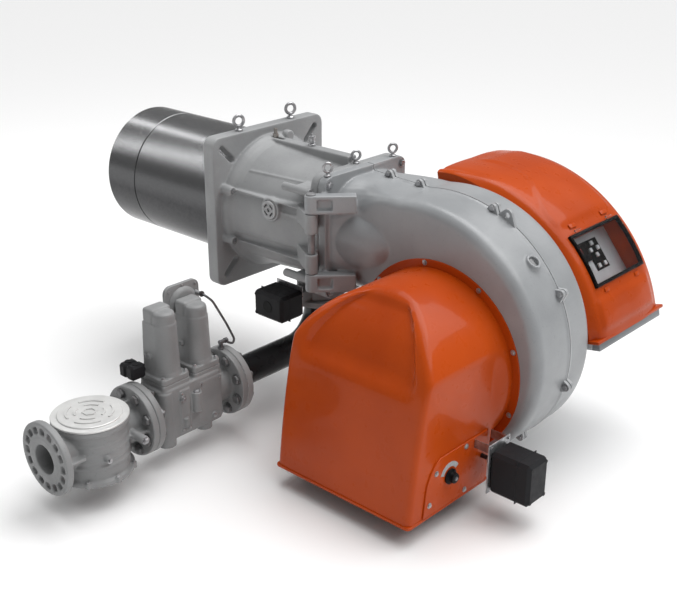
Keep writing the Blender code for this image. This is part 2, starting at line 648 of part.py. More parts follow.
carve(volute, rod(MOTOR_SPIGOT_RADIUS, HOUSING_REAR - 0.02, HOUSING_REAR + 0.01, "Y", (FAN_X, 0, FAN_Z), 20))
carve(volute, rod(PIN_RADIUS + RUNNING_GAP, -ARM_LEVEL - ARM_HEIGHT, ARM_LEVEL + ARM_HEIGHT, "Z",
                  (PIN_X, PIN_Y, 0), 16))
SIGHT_X, SIGHT_Z = rim_point(SIGHT_ANGLE, 0.0)
SIGHT_TURN = Matrix.Translation((SIGHT_X, SIGHT_Y, SIGHT_Z)) @ Matrix.Rotation(
    math.radians(90 - SIGHT_ANGLE), 4, "Y")


def sight_part(bm):
    bmesh.ops.transform(bm, matrix=SIGHT_TURN, verts=bm.verts)
    return bm


front_shell = add_piece("volute_front_shell", box((NECK_FACE_X - 0.03, PIN_Y - 0.05, FAN_Z - 0.45),
                                                  (FAN_X + 0.50, HOUSING_SEAM - SEAT_GAP / 2, 0.30)), CAST_GREY)
combine(front_shell, volute, "INTERSECT")
fuse(front_shell, sight_part(rod(SIGHT_RADIUS, -0.012, 0.008, "Z", (0, 0, 0), 12)))
carve(front_shell, sight_part(rod(SIGHT_RADIUS - 0.006, -0.020, 0.020, "Z", (0, 0, 0), 12)))
rear_shell = add_piece("volute_rear_shell", box((NECK_FACE_X - 0.03, HOUSING_SEAM + SEAT_GAP / 2, FAN_Z - 0.45),
                                                (FAN_X + 0.50, HOUSING_REAR + 0.05, 0.30)), CAST_GREY)
combine(rear_shell, volute, "INTERSECT")
add_piece("sight_glass", sight_part(rod(SIGHT_RADIUS - 0.0064, -0.008, 0.004, "Z", (0, 0, 0), 12)), CLEAR)

for shell, lug_face, axis, side in ((front_shell, LUG_FRONT, "-Y", -1), (rear_shell, LUG_REAR, "Y", 1)):
    fuse(shell, gather(*[bolt_head((x, lug_face, z), axis, SEAM_BOLT_ACROSS, SEAM_BOLT_HEAD) for x, z in LUGS],
                       *[bolt_head((NECK_START_X, side * NECK_BOLT_Y, up * NECK_BOLT_Z), "X", NECK_BOLT_ACROSS,
                                   NECK_BOLT_HEAD) for up in (-1, 1)]))
EYE_X = (NECK_FACE_X + NECK_START_X) / 2
add_eye_bolt("fan_eye_bolt_near", (EYE_X, -0.146, NECK_HALF_HEIGHT), NECK_EYE_SIZE, 60)
add_eye_bolt("fan_eye_bolt_far", (EYE_X, 0.129, NECK_HALF_HEIGHT), NECK_EYE_SIZE, 60)


# Impeller: back plate with hub, shroud ring and backward-curved blades, turned by the motor
def shroud_y(radius):
    part = (radius - EYE_RADIUS) / (IMPELLER_RADIUS - EYE_RADIUS)
    return IMPELLER_FRONT + (IMPELLER_TIP_FRONT - IMPELLER_FRONT) * max(part, 0.0)


def blade_shape(turn):
    """One blade along a logarithmic spiral, its free front edge sloping back inside the eye."""
    stations = ((0.100, 0.000), (0.149, -0.064), (0.160, None), (0.190, None), (0.2312, None))
    near = []
    far = []
    for radius, front in stations:
        angle = turn - math.log(radius / stations[0][0]) / math.tan(math.radians(BLADE_ANGLE))
        half = BLADE_THICKNESS / 2 / radius
        front_y = shroud_y(radius) + 0.002 if front is None else front
        for side, spread in ((near, -half), (far, half)):
            x = radius * math.cos(angle + spread)
            z = radius * math.sin(angle + spread)
            side.append(((x, front_y, z), (x, IMPELLER_BACK - IMPELLER_PLATE / 2, z)))
    rings = [[n[0], n[1], f[1], f[0]] for n, f in zip(near, far)]
    bm = loft(rings)
    bmesh.ops.translate(bm, vec=(FAN_X, 0, FAN_Z), verts=bm.verts)
    return bm


PLATE_FRONT = IMPELLER_BACK - IMPELLER_PLATE
impeller = add_piece("impeller", turned(
    [(SHAFT_RADIUS + SEAT_GAP, 0.050), (HUB_RADIUS, 0.050), (HUB_RADIUS + 0.006, PLATE_FRONT),
     (IMPELLER_RADIUS, PLATE_FRONT), (IMPELLER_RADIUS, IMPELLER_BACK),
     (SHAFT_RADIUS + SEAT_GAP, IMPELLER_BACK)],
    "Y", (FAN_X, 0, FAN_Z), 24), LID_METAL)
fuse(impeller, gather(*[blade_shape(math.tau * k / BLADE_COUNT) for k in range(BLADE_COUNT)]))
fuse(impeller, turned(
    [(EYE_RADIUS, IMPELLER_FRONT - 0.004), (EYE_RADIUS + 0.004, IMPELLER_FRONT - 0.004),
     (EYE_RADIUS + 0.006, IMPELLER_FRONT + 0.001), (IMPELLER_RADIUS, IMPELLER_TIP_FRONT),
     (IMPELLER_RADIUS, IMPELLER_TIP_FRONT + IMPELLER_PLATE), (EYE_RADIUS, IMPELLER_FRONT + IMPELLER_PLATE)],
    "Y", (FAN_X, 0, FAN_Z), 24))

CONE_FLANGE_RADIUS = 0.228
CONE_FACE = HOUSING_FRONT - SEAT_GAP
CONE_THROAT = EYE_RADIUS - CONE_CLEARANCE
add_piece("inlet_cone", turned(
    [(CONE_FLANGE_RADIUS, CONE_FACE), (0.196, CONE_FACE), (0.170, CONE_FACE + 0.009),
     (0.156, CONE_FACE + 0.020), (CONE_THROAT, CONE_FACE + 0.036), (CONE_THROAT - 0.003, CONE_FACE + 0.036),
     (0.153, CONE_FACE + 0.018), (0.168, CONE_FACE + 0.006), (0.195, CONE_FACE - 0.003),
     (CONE_FLANGE_RADIUS, CONE_FACE - 0.003)], "Y", (FAN_X, 0, FAN_Z), 24), GALVANISED)


# Fan motor: finned housing, rotor on the shaft, cooling fan and its slotted cowl
MOTOR_FACE = HOUSING_REAR + SEAT_GAP
MOTOR_BODY_START = MOTOR_FACE + MOTOR_FLANGE_THICKNESS
MOTOR_END = MOTOR_BODY_START + MOTOR_LENGTH
SHAFT_HOLE = SHAFT_RADIUS + RUNNING_GAP
COWL_INNER = MOTOR_RADIUS + 0.0005


def finned_outline():
    points = []
    pitch = 360 / MOTOR_FIN_COUNT
    for fin in range(MOTOR_FIN_COUNT):
        for turn, radius in ((-0.20, MOTOR_RADIUS), (-0.14, MOTOR_RADIUS + MOTOR_FIN_HEIGHT),
                             (0.14, MOTOR_RADIUS + MOTOR_FIN_HEIGHT), (0.20, MOTOR_RADIUS)):
            angle = math.radians((fin + 0.5 + turn) * pitch)
            points.append((FAN_X + radius * math.cos(angle), FAN_Z + radius * math.sin(angle)))
    return points


motor = add_piece("motor_housing", turned(
    [(SHAFT_HOLE, MOTOR_FACE - 0.005), (MOTOR_SPIGOT_RADIUS - SEAT_GAP, MOTOR_FACE - 0.005),
     (MOTOR_SPIGOT_RADIUS - SEAT_GAP, MOTOR_FACE), (MOTOR_FLANGE_RADIUS, MOTOR_FACE),
     (MOTOR_FLANGE_RADIUS, MOTOR_BODY_START), (MOTOR_RADIUS + 0.006, MOTOR_BODY_START + 0.010),
     (MOTOR_RADIUS - 0.003, MOTOR_BODY_START + 0.016), (MOTOR_RADIUS - 0.003, MOTOR_END - 0.028),
     (COWL_INNER - SEAT_GAP, MOTOR_END - 0.025), (COWL_INNER - SEAT_GAP, MOTOR_END - 0.014),
     (MOTOR_RADIUS - 0.010, MOTOR_END), (SHAFT_HOLE, MOTOR_END), (SHAFT_HOLE, MOTOR_END - 0.020),
     (MOTOR_BORE, MOTOR_END - 0.020), (MOTOR_BORE, MOTOR_BODY_START + 0.006),
     (SHAFT_HOLE, MOTOR_BODY_START + 0.006)], "Y", (FAN_X, 0, FAN_Z), 20), MOTOR_BLUE_GREY)
MOTOR_BOLT_CIRCLE = 0.136
fuse(motor, gather(*[bolt_head((FAN_X + u, MOTOR_BODY_START, FAN_Z + v), "Y", NECK_BOLT_ACROSS, NECK_BOLT_HEAD)
                     for u, v in circle_places(4, MOTOR_BOLT_CIRCLE, math.radians(45))]))
fuse(motor, prism(finned_outline(), MOTOR_BODY_START + 0.018, MOTOR_END - 0.030, "Y"))
TERMINAL_LOW = FAN_Z + MOTOR_RADIUS - 0.012
fuse(motor, soft_box((FAN_X - 0.058, MOTOR_BODY_START + 0.040, TERMINAL_LOW),
                     (FAN_X + 0.058, MOTOR_BODY_START + 0.150, TERMINAL_LOW + 0.070), 0.006, 1))
carve(motor, rod(MOTOR_BORE, MOTOR_BODY_START + 0.006, MOTOR_END - 0.020, "Y", (FAN_X, 0, FAN_Z), 20))

rotor = add_piece("motor_rotor", turned(
    [(0, 0.020), (SHAFT_RADIUS - 0.003, 0.020), (SHAFT_RADIUS, 0.024), (SHAFT_RADIUS, MOTOR_BODY_START + 0.030),
     (MOTOR_BORE - 0.0018, MOTOR_BODY_START + 0.030), (MOTOR_BORE - 0.0018, MOTOR_END - 0.040),
     (SHAFT_RADIUS, MOTOR_END - 0.040), (SHAFT_RADIUS, MOTOR_END + 0.046), (0, MOTOR_END + 0.046)],
    "Y", (FAN_X, 0, FAN_Z), 24), BARE_STEEL)
cooling_fan = add_piece("motor_cooling_fan", turned(
    [(SHAFT_RADIUS + SEAT_GAP, MOTOR_END + 0.010), (0.034, MOTOR_END + 0.010), (0.034, MOTOR_END + 0.014),
     (0.088, MOTOR_END + 0.014), (0.088, MOTOR_END + 0.018), (0.034, MOTOR_END + 0.018),
     (0.034, MOTOR_END + 0.042), (SHAFT_RADIUS + SEAT_GAP, MOTOR_END + 0.042)],
    "Y", (FAN_X, 0, FAN_Z), 18), BLACK_PLASTIC)


def fan_paddle(turn):
    bm = box((0.028, MOTOR_END + 0.016, -0.0015), (0.086, MOTOR_END + 0.038, 0.0015))
    place = Matrix.Translation((FAN_X, 0, FAN_Z)) @ Matrix.Rotation(turn, 4, "Y")
    bmesh.ops.transform(bm, matrix=place, verts=bm.verts)
    return bm


fuse(cooling_fan, gather(*[fan_paddle(math.tau * k / 5) for k in range(5)]))
cowl = add_piece("motor_fan_cowl", turned(
    [(COWL_INNER + COWL_WALL, MOTOR_END - 0.024), (COWL_INNER + COWL_WALL, MOTOR_END + COWL_LENGTH - 0.012),
     (COWL_INNER - 0.008, MOTOR_END + COWL_LENGTH), (0, MOTOR_END + COWL_LENGTH),
     (0, MOTOR_END + COWL_LENGTH - COWL_WALL), (COWL_INNER - 0.010, MOTOR_END + COWL_LENGTH - COWL_WALL),
     (COWL_INNER, MOTOR_END + COWL_LENGTH - 0.014), (COWL_INNER, MOTOR_END - 0.024),
     (COWL_INNER + COWL_WALL, MOTOR_END - 0.024)], "Y", (FAN_X, 0, FAN_Z), 20), MOTOR_BLUE_GREY)
carve(cowl, gather(*[box((FAN_X - half, MOTOR_END + COWL_LENGTH - 0.02, FAN_Z + level - 0.003),
                         (FAN_X + half, MOTOR_END + COWL_LENGTH + 0.01, FAN_Z + level + 0.003))
                     for level, half in ((-0.044, 0.062), (0.0, 0.076), (0.044, 0.062))]))


# Air hood: a sheet cowl with an arched outline, a leaning curved front and an open underside
HOOD_FRONT_PROFILE = ((-0.520, -0.500), (-0.400, -0.485), (-0.280, -0.465), (-0.170, -0.440), (-0.100, -0.405),
                      (-0.050, -0.360), (-0.012, -0.310), (-0.005, -0.300))
HOOD_BACK = HOUSING_FRONT - SEAT_GAP
COLLAR_THICKNESS = 0.003
HOOD_COLUMNS = 4


def hood_front(z):
    """How far forward the front face stands at a height."""
    for (z0, y0), (z1, y1) in zip(HOOD_FRONT_PROFILE, HOOD_FRONT_PROFILE[1:]):
        if z <= z1:
            return y0 + (y1 - y0) * (z - z0) / (z1 - z0)
    return HOOD_FRONT_PROFILE[-1][1]


def arch_side(inset, floor):
    """Right half of the arch, from the bottom corner to the crown, as (x offset, z)."""
    half = HOOD_HALF_WIDTH - inset
    radius = HOOD_RADIUS - inset
    spring = math.degrees(math.acos(half / radius))
    side = [(half, z) for z in (floor, -0.400, -0.280)]
    side += [(radius * math.cos(math.radians(a)), FAN_Z + radius * math.sin(math.radians(a)))
             for a in (spring + (90 - spring) * k / 6 for k in range(6))]
    return side


def arch_ring(inset, floor, place):
    side = arch_side(inset, floor)
    crown = (0.0, FAN_Z + HOOD_RADIUS - inset)
    bottom = [(side[0][0] * (2 * k / HOOD_COLUMNS - 1), floor) for k in range(1, HOOD_COLUMNS)]
    outline = side + [crown] + [(-x, z) for x, z in reversed(side)] + bottom
    return [place(x, z) for x, z in outline]


def hood_body(wall, back):
    """Solid hood, drawn in by wall on every side, from back to its front face."""
    floor = HOOD_BOTTOM + wall
    radius = HOOD_RADIUS - wall

    def at_circle(y, share):
        def place(x, z):
            reach = math.hypot(x, z - FAN_Z)
            keep = 1 + (radius / reach - 1) * share
            return (FAN_X + x * keep, y, FAN_Z + (z - FAN_Z) * keep)
        return place

    def at_front(back_by):
        return lambda x, z: (FAN_X + x, hood_front(z) + back_by + wall * 1.5, z)

    blend_start = HOOD_BACK - HOOD_NECK_LENGTH
    rings = [arch_ring(wall, floor, at_circle(back, 1.0)),
             arch_ring(wall, floor, at_circle(blend_start, 1.0)),
             arch_ring(wall, floor, at_circle(blend_start - HOOD_BLEND_LENGTH * 0.45, 0.5)),
             arch_ring(wall, floor, at_circle(blend_start - HOOD_BLEND_LENGTH, 0.0)),
             arch_ring(wall, floor, at_front(HOOD_EDGE)),
             arch_ring(wall + HOOD_EDGE * 0.29, floor, at_front(HOOD_EDGE * 0.29)),
             arch_ring(wall + HOOD_EDGE, floor, at_front(0.0))]
    bm = loft(rings)
    bm.faces.ensure_lookup_table()
    bm.faces.remove(bm.faces[-1])
    bm.verts.ensure_lookup_table()
    count = len(rings[0])
    front = bm.verts[-count:]
    rows = (count - HOOD_COLUMNS) // 2
    lines = []
    for row in range(rows):
        right = front[row]
        left = front[2 * rows - row]
        if row == 0:
            middle = list(front[2 * rows + 1:])[::-1]
        else:
            middle = [bm.verts.new(right.co.lerp(left.co, k / HOOD_COLUMNS)) for k in range(1, HOOD_COLUMNS)]
        lines.append([right] + middle + [left])
    for lower, upper in zip(lines, lines[1:]):
        for k in range(HOOD_COLUMNS):
            bm.faces.new((lower[k], lower[k + 1], upper[k + 1], upper[k]))
    crown = front[rows]
    for k in range(HOOD_COLUMNS):
        bm.faces.new((lines[-1][k], lines[-1][k + 1], crown))
    return bm


def recess_shape(grow, depth):
    """Shallow scoop in the upper front, a half-moon under the crown that follows the front's curve."""
    rings = []
    for level, half in ((-0.168, 0.150), (-0.156, 0.182), (-0.130, 0.176), (-0.105, 0.158), (-0.080, 0.132),
                        (-0.058, 0.096), (-0.046, 0.050)):
        z = level + grow * (1 if level > -0.110 else -1)
        reach = half + grow
        rings.append([(FAN_X - reach, hood_front(z) + depth, z), (FAN_X + reach, hood_front(z) + depth, z),
                      (FAN_X + reach + 0.012, hood_front(z) - 0.040, z + 0.010 * (1 if level > -0.110 else -1)),
                      (FAN_X - reach - 0.012, hood_front(z) - 0.040,
                       z + 0.010 * (1 if level > -0.110 else -1))])
    return loft(rings)


MOUTH_REAR = -0.180
MOUTH_FRONT = -0.488
MOUTH_HALF_WIDTH = HOOD_HALF_WIDTH - 0.012
hood = add_piece("air_hood", hood_body(0.0, HOOD_BACK - COLLAR_THICKNESS / 2), ORANGE)
fuse(hood, turned([(0, HOOD_BACK - COLLAR_THICKNESS), (HOOD_FLANGE_RADIUS, HOOD_BACK - COLLAR_THICKNESS),
                   (HOOD_FLANGE_RADIUS, HOOD_BACK), (0, HOOD_BACK)], "Y", (FAN_X, 0, FAN_Z), 32))
fuse(hood, prism(rounded_rectangle(HOOD_HALF_WIDTH + 0.003, (MOUTH_REAR - HOOD_FRONT) / 2 + 0.006, 0.012,
                                   (FAN_X, (MOUTH_REAR + HOOD_FRONT) / 2 + 0.003), 2),
                 HOOD_BOTTOM - 0.0005, HOOD_BOTTOM + HOOD_LIP, "Z"))
carve(hood, recess_shape(0.0, RECESS_DEPTH))
hood_void = add_guide("hood_void", hood_body(HOOD_WALL, HOOD_BACK + 0.01))
carve(hood_void, recess_shape(HOOD_WALL, RECESS_DEPTH + HOOD_WALL * 1.5))
combine(hood, hood_void, "DIFFERENCE")
carve(hood, box((FAN_X - MOUTH_HALF_WIDTH, MOUTH_FRONT, HOOD_BOTTOM - 0.02),
                (FAN_X + MOUTH_HALF_WIDTH, MOUTH_REAR, HOOD_BOTTOM + 0.02)))

HOOD_SIDE = FAN_X + HOOD_HALF_WIDTH
PANEL_FACE = HOOD_SIDE + SEAT_GAP
PANEL_OUT = PANEL_FACE + SIDE_PANEL_WALL
side_panel = add_piece("hood_side_panel", prism(
    [(-0.447, HOOD_BOTTOM + HOOD_LIP + SEAT_GAP), (-0.438, -0.444), (-0.421, -0.395), (-0.383, -0.363),
     (-0.190, -0.363), (-0.190, HOOD_BOTTOM + HOOD_LIP + SEAT_GAP)][::-1], PANEL_FACE, PANEL_OUT, "X"), ORANGE)
for axle_y in (DAMPER_REAR_Y, DAMPER_FRONT_Y):
    hole = rod(DAMPER_SHAFT_RADIUS + RUNNING_GAP, HOOD_SIDE - 0.02, PANEL_OUT + 0.01, "X",
               (0, axle_y, DAMPER_LEVEL), 12)
    carve(side_panel, hole)
    carve(hood, rod(DAMPER_SHAFT_RADIUS + RUNNING_GAP, HOOD_SIDE - 0.02, HOOD_SIDE + 0.01, "X",
                    (0, axle_y, DAMPER_LEVEL), 12))


# Two linked air dampers across the hood, each a blade on a shaft
DAMPER_SPAN = HOOD_HALF_WIDTH - HOOD_WALL - 0.004
DAMPER_HALF_BLADE = 0.064
REAR_BLADE_TAIL = 0.022


def damper_shape(axle_y, tail, shaft_end):
    """A flat blade on its shaft, drawn closed, so level, reaching back by its tail."""
    blade = box((FAN_X - DAMPER_SPAN, axle_y - DAMPER_HALF_BLADE, DAMPER_LEVEL - DAMPER_THICKNESS / 2),
                (FAN_X + DAMPER_SPAN, axle_y + tail, DAMPER_LEVEL + DAMPER_THICKNESS / 2))
    axle = rod(DAMPER_SHAFT_RADIUS, FAN_X - DAMPER_SPAN - 0.001, shaft_end, "X", (0, axle_y, DAMPER_LEVEL), 12)
    return blade, axle


SERVO_PLATE_X = AIR_SERVO_X
rear_blade, rear_axle = damper_shape(DAMPER_REAR_Y, REAR_BLADE_TAIL, SERVO_PLATE_X - 0.004)
damper_rear = add_piece("air_damper_rear", rear_blade, GALVANISED)
fuse(damper_rear, rear_axle)
KNOB_FACE = PANEL_OUT + 0.0006
front_blade, front_axle = damper_shape(DAMPER_FRONT_Y, DAMPER_HALF_BLADE, KNOB_FACE + 0.012)
damper_front = add_piece("air_damper_front", front_blade, GALVANISED)
fuse(damper_front, front_axle)
knob = add_piece("damper_knob", turned(
    [(DAMPER_SHAFT_RADIUS + SEAT_GAP, 0), (0.021, 0), (0.021, 0.005), (0.015, 0.008), (0.014, 0.018),
     (0.011, 0.020), (DAMPER_SHAFT_RADIUS + SEAT_GAP, 0.020)], "X", (KNOB_FACE, DAMPER_FRONT_Y, DAMPER_LEVEL),
                                       16),
    BLACK_PLASTIC)
carry("rear_damper_axis", (FAN_X, DAMPER_REAR_Y, DAMPER_LEVEL), [damper_rear])
carry("front_damper_axis", (FAN_X, DAMPER_FRONT_Y, DAMPER_LEVEL), [damper_front, knob])

SCREW_ANGLES = (20, 60, 100, 140, 180, 220, 262, 300, 340)
SCREW_CIRCLE = 0.262
SCREW_ACROSS = 0.010
SCREW_HEAD = 0.004
fuse(hood, gather(*[bolt_head((FAN_X + SCREW_CIRCLE * math.cos(math.radians(a)), HOOD_BACK - COLLAR_THICKNESS,
                               FAN_Z + SCREW_CIRCLE * math.sin(math.radians(a))), "-Y", SCREW_ACROSS,
                              SCREW_HEAD)
                    for a in SCREW_ANGLES]))
fuse(side_panel, gather(*[bolt_head((PANEL_OUT, y, z), "X", SCREW_ACROSS, SCREW_HEAD)
                          for y, z in ((-0.424, -0.480), (-0.400, -0.400), (-0.280, -0.374),
                                       (-0.280, -0.500))]))

SERVO_LOW_Z = -0.500
SERVO_HIGH_Z = SERVO_LOW_Z + AIR_SERVO_SIZE[2]
SERVO_NEAR_Y = -0.250
SERVO_FAR_Y = SERVO_NEAR_Y + AIR_SERVO_SIZE[1]
SERVO_EDGE = 0.006
bracket = add_piece("air_servo_bracket", box(
    (SERVO_PLATE_X, SERVO_NEAR_Y - 0.004, SERVO_LOW_Z - 0.004),
    (SERVO_PLATE_X + 0.003, SERVO_FAR_Y + 0.004, SERVO_HIGH_Z + 0.016)), BARE_STEEL)
for foot_y in (SERVO_NEAR_Y + 0.004, SERVO_FAR_Y - 0.010):
    fuse(bracket, box((PANEL_OUT + SEAT_GAP, foot_y, SERVO_HIGH_Z - 0.010),
                      (SERVO_PLATE_X + 0.001, foot_y + 0.003,
                                                                        SERVO_HIGH_Z + 0.014)))
carve(bracket, rod(DAMPER_SHAFT_RADIUS + 0.004, SERVO_PLATE_X - 0.01, SERVO_PLATE_X + 0.01, "X",
                   (0, DAMPER_REAR_Y, DAMPER_LEVEL), 12))
add_piece("air_servo", soft_box(
    (SERVO_PLATE_X + 0.003 + SEAT_GAP, SERVO_NEAR_Y, SERVO_LOW_Z),
    (SERVO_PLATE_X + 0.003 + SEAT_GAP + AIR_SERVO_SIZE[0], SERVO_FAR_Y, SERVO_HIGH_Z), SERVO_EDGE, 1),
    BLACK_PLASTIC)


# Control panel: a crowned cover spun about its own axis, with a recessed window
def polar(radius, angle):
    return (PANEL_AXIS_X + radius * math.cos(math.radians(angle)),
            PANEL_AXIS_Z + radius * math.sin(math.radians(angle)))


CROWN = ((0.0, 0.0), (0.07, 0.76), (0.20, 1.0), (0.72, 1.0), (0.94, 0.62), (1.0, 0.0))


def cover_shape(wall, low_angle, high_angle, floor):
    """Crowned sector from floor radius out to the cover's skin, drawn in by wall."""
    width = PANEL_FAR - PANEL_NEAR - 2 * wall
    rings = []
    steps = 12
    for step in range(steps + 1):
        angle = low_angle + (high_angle - low_angle) * step / steps
        ring = []
        for share, rise in CROWN:
            x, z = polar(PANEL_RADIUS + PANEL_CROWN * rise - wall, angle)
            ring.append((x, PANEL_NEAR + wall + width * share, z))
        x, z = polar(floor, angle)
        ring += [(x, PANEL_FAR - wall, z), (x, PANEL_NEAR + wall, z)]
        rings.append(ring)
    return loft(rings)


def window_block(grow, inner, outer, steps):
    """Block over the window's area between two radii, grown by a margin all round."""
    spread = math.degrees(grow / PANEL_RADIUS)
    rings = []
    for step in range(steps + 1):
        angle = WINDOW_LOW_ANGLE - spread + (WINDOW_HIGH_ANGLE - WINDOW_LOW_ANGLE + 2 * spread) * step / steps
        inner_x, inner_z = polar(inner, angle)
        outer_x, outer_z = polar(outer, angle)
        rings.append([(inner_x, WINDOW_NEAR - grow, inner_z), (outer_x, WINDOW_NEAR - grow, outer_z),
                      (outer_x, WINDOW_FAR + grow, outer_z), (inner_x, WINDOW_FAR + grow, inner_z)])
    return loft(rings)


COVER_TOP = PANEL_RADIUS + PANEL_CROWN
COVER_FLOOR = 0.300
cover = add_piece("panel_cover", cover_shape(0.0, PANEL_LOW_ANGLE, PANEL_HIGH_ANGLE, COVER_FLOOR), ORANGE)
carve(cover, cover_shape(PANEL_WALL, PANEL_LOW_ANGLE - 3, PANEL_HIGH_ANGLE - 0.6, COVER_FLOOR - 0.05))
WINDOW_FLOOR = COVER_TOP - WINDOW_DEPTH
fuse(cover, window_block(PANEL_WALL, WINDOW_FLOOR - 0.012, COVER_TOP - 0.008, 4))
carve(cover, window_block(0.0, WINDOW_FLOOR, COVER_TOP + 0.045, 1))

FACIA_THICKNESS = 0.006
FACIA_TOP = WINDOW_FLOOR + FACIA_THICKNESS
facia = add_piece("panel_facia", window_block(-SEAT_GAP, WINDOW_FLOOR + SEAT_GAP, FACIA_TOP, 1), PANEL_GREY)
FRAME_TOP = COVER_TOP + WINDOW_FRAME_HEIGHT
frame = add_piece("window_frame", window_block(-SEAT_GAP, COVER_TOP - 0.016, FRAME_TOP, 3), BLACK_PLASTIC)
carve(frame, window_block(-WINDOW_FRAME_WIDTH, COVER_TOP - 0.03, FRAME_TOP + 0.01, 3))

FLAP_LOW = FRAME_TOP + 0.0006
FLAP_THICKNESS = 0.0022
FLAP_HINGE_RADIUS = 0.0026
FLAP_HINGE_ANGLE = WINDOW_HIGH_ANGLE + 0.65
flap_x, flap_z = polar(FLAP_LOW + FLAP_HINGE_RADIUS, FLAP_HINGE_ANGLE)
flap = add_piece("window_flap", window_block(0.0005, FLAP_LOW, FLAP_LOW + FLAP_THICKNESS, 3), CLEAR)
fuse(flap, gather(*[rod(FLAP_HINGE_RADIUS, low, low + 0.030, "Y", (flap_x, 0, flap_z), 8)
                    for low in (WINDOW_NEAR + 0.030, WINDOW_FAR - 0.060)]))
fuse(flap, gather(*[prism([polar(FLAP_LOW, WINDOW_HIGH_ANGLE - 0.4),
                           polar(FLAP_LOW + 0.002, WINDOW_HIGH_ANGLE - 0.4),
                           polar(FLAP_LOW + 0.0035, FLAP_HINGE_ANGLE),
                           polar(FLAP_LOW + 0.0015, FLAP_HINGE_ANGLE)],
                          low + 0.002, low + 0.028, "Y") for low in (WINDOW_NEAR + 0.030, WINDOW_FAR - 0.060)]))
carry("flap_axis", (flap_x, 0.0, flap_z), [flap])

FACIA_ANGLE = (WINDOW_LOW_ANGLE + WINDOW_HIGH_ANGLE) / 2
FACIA_LEVEL = FACIA_TOP * math.cos(math.radians((WINDOW_HIGH_ANGLE - WINDOW_LOW_ANGLE) / 2))
FACIA_PLACE = Matrix.Translation((*polar(FACIA_LEVEL, FACIA_ANGLE)[:1], 0.0,
                                  polar(FACIA_LEVEL, FACIA_ANGLE)[1])) \
    @ Matrix.Rotation(math.radians(90 - FACIA_ANGLE), 4, "Y")


def on_facia(bm):
    """Moves a shape drawn with X down the facia, Y along it and Z out of it onto the facia."""
    bmesh.ops.transform(bm, matrix=FACIA_PLACE, verts=bm.verts)
    return bm


def facia_point(down, along, out):
    return tuple(FACIA_PLACE @ Vector((down, along, out)))


KEY_SIZE = 0.012
KEY_TRAVEL = 0.0015
KEY_POCKET = 0.0045
KEY_HEIGHT = 0.0045
KEY_PLACES = ((-0.040, 0.345), (-0.022, 0.327), (-0.022, 0.363), (-0.004, 0.345), (0.026, 0.330),
              (0.026, 0.360))
ROCKER_PLACES = ((0.042, 0.213), (0.042, 0.237))
ROCKER_HALF_LENGTH = 0.0105
ROCKER_HALF_WIDTH = 0.0065
POCKET_GAP = 0.0005

carve(facia, gather(*[on_facia(box((down - KEY_SIZE / 2 - POCKET_GAP, along - KEY_SIZE / 2 - POCKET_GAP,
                                    -KEY_POCKET),
                                   (down + KEY_SIZE / 2 + POCKET_GAP, along + KEY_SIZE / 2 + POCKET_GAP, 0.01)))
                      for down, along in KEY_PLACES],
                    *[on_facia(box((down - ROCKER_HALF_LENGTH - POCKET_GAP,
                                    along - ROCKER_HALF_WIDTH - POCKET_GAP,
                                    -KEY_POCKET),
                                   (down + ROCKER_HALF_LENGTH + POCKET_GAP,
                                    along + ROCKER_HALF_WIDTH + POCKET_GAP,
                                    0.01))) for down, along in ROCKER_PLACES]))
for number, (down, along) in enumerate(KEY_PLACES, 1):
    key = add_piece("key_" + str(number), on_facia(box(
        (down - KEY_SIZE / 2, along - KEY_SIZE / 2, -KEY_POCKET + KEY_TRAVEL + SEAT_GAP),
        (down + KEY_SIZE / 2, along + KEY_SIZE / 2, KEY_HEIGHT))), PALE_KEYS)
    carry("key_" + str(number) + "_axis", facia_point(down, along, 0.0), [key])
for side, (down, along) in zip(("left", "right"), ROCKER_PLACES):
    rocker = add_piece("rocker_switch_" + side, on_facia(prism(
        [(down - ROCKER_HALF_LENGTH + 0.0006, -0.0028), (down + ROCKER_HALF_LENGTH - 0.0006, -0.0028),
         (down + ROCKER_HALF_LENGTH, 0.0040), (down, 0.0022), (down - ROCKER_HALF_LENGTH, 0.0040)],
        along - ROCKER_HALF_WIDTH, along + ROCKER_HALF_WIDTH, "Y")), BLACK_PLASTIC)
    carry("rocker_" + side + "_axis", facia_point(down, along, 0.0), [rocker])
display = add_piece("display_module", on_facia(box((-0.052, 0.205, SEAT_GAP), (0.004, 0.310, 0.008))),
                    BLACK_PLASTIC)
carve(display, on_facia(box((-0.046, 0.213, 0.0065), (-0.014, 0.302, 0.02))))

BASE_TOP = COVER_FLOOR - SEAT_GAP
BASE_SHEET = 0.003
BASE_DEPTH = 0.018


def base_sector(inner, outer, low, high, near, far):
    points = arc((PANEL_AXIS_X, PANEL_AXIS_Z), outer, low, high, 8)
    points += arc((PANEL_AXIS_X, PANEL_AXIS_Z), inner, high, low, 8)
    return prism(points, near, far, "Y")


BASE_NEAR = PANEL_NEAR + PANEL_WALL + SEAT_GAP
BASE_FAR = PANEL_FAR - PANEL_WALL - SEAT_GAP
BRACKET_ANGLES = (86, 60)
BRACKET_SPREAD = 3
base = add_piece("panel_base", base_sector(BASE_TOP - BASE_SHEET, BASE_TOP, PANEL_LOW_ANGLE - 0.6,
                                           PANEL_HIGH_ANGLE,
                                           BASE_NEAR, BASE_FAR), PANEL_GREY)
LIP_SPREAD = math.degrees(SEAT_GAP / PANEL_RADIUS)
lip_angle = PANEL_LOW_ANGLE - 2 * LIP_SPREAD
lip_near, lip_far = polar(BASE_TOP - BASE_SHEET, lip_angle), polar(PANEL_RADIUS + 0.004, lip_angle)
fuse(base, prism([lip_near, (lip_near[0], lip_near[1] - BASE_DEPTH), (lip_far[0], lip_far[1] - BASE_DEPTH),
                  lip_far],
                 BASE_NEAR + 0.0005, PANEL_FAR - 0.020, "Y"))
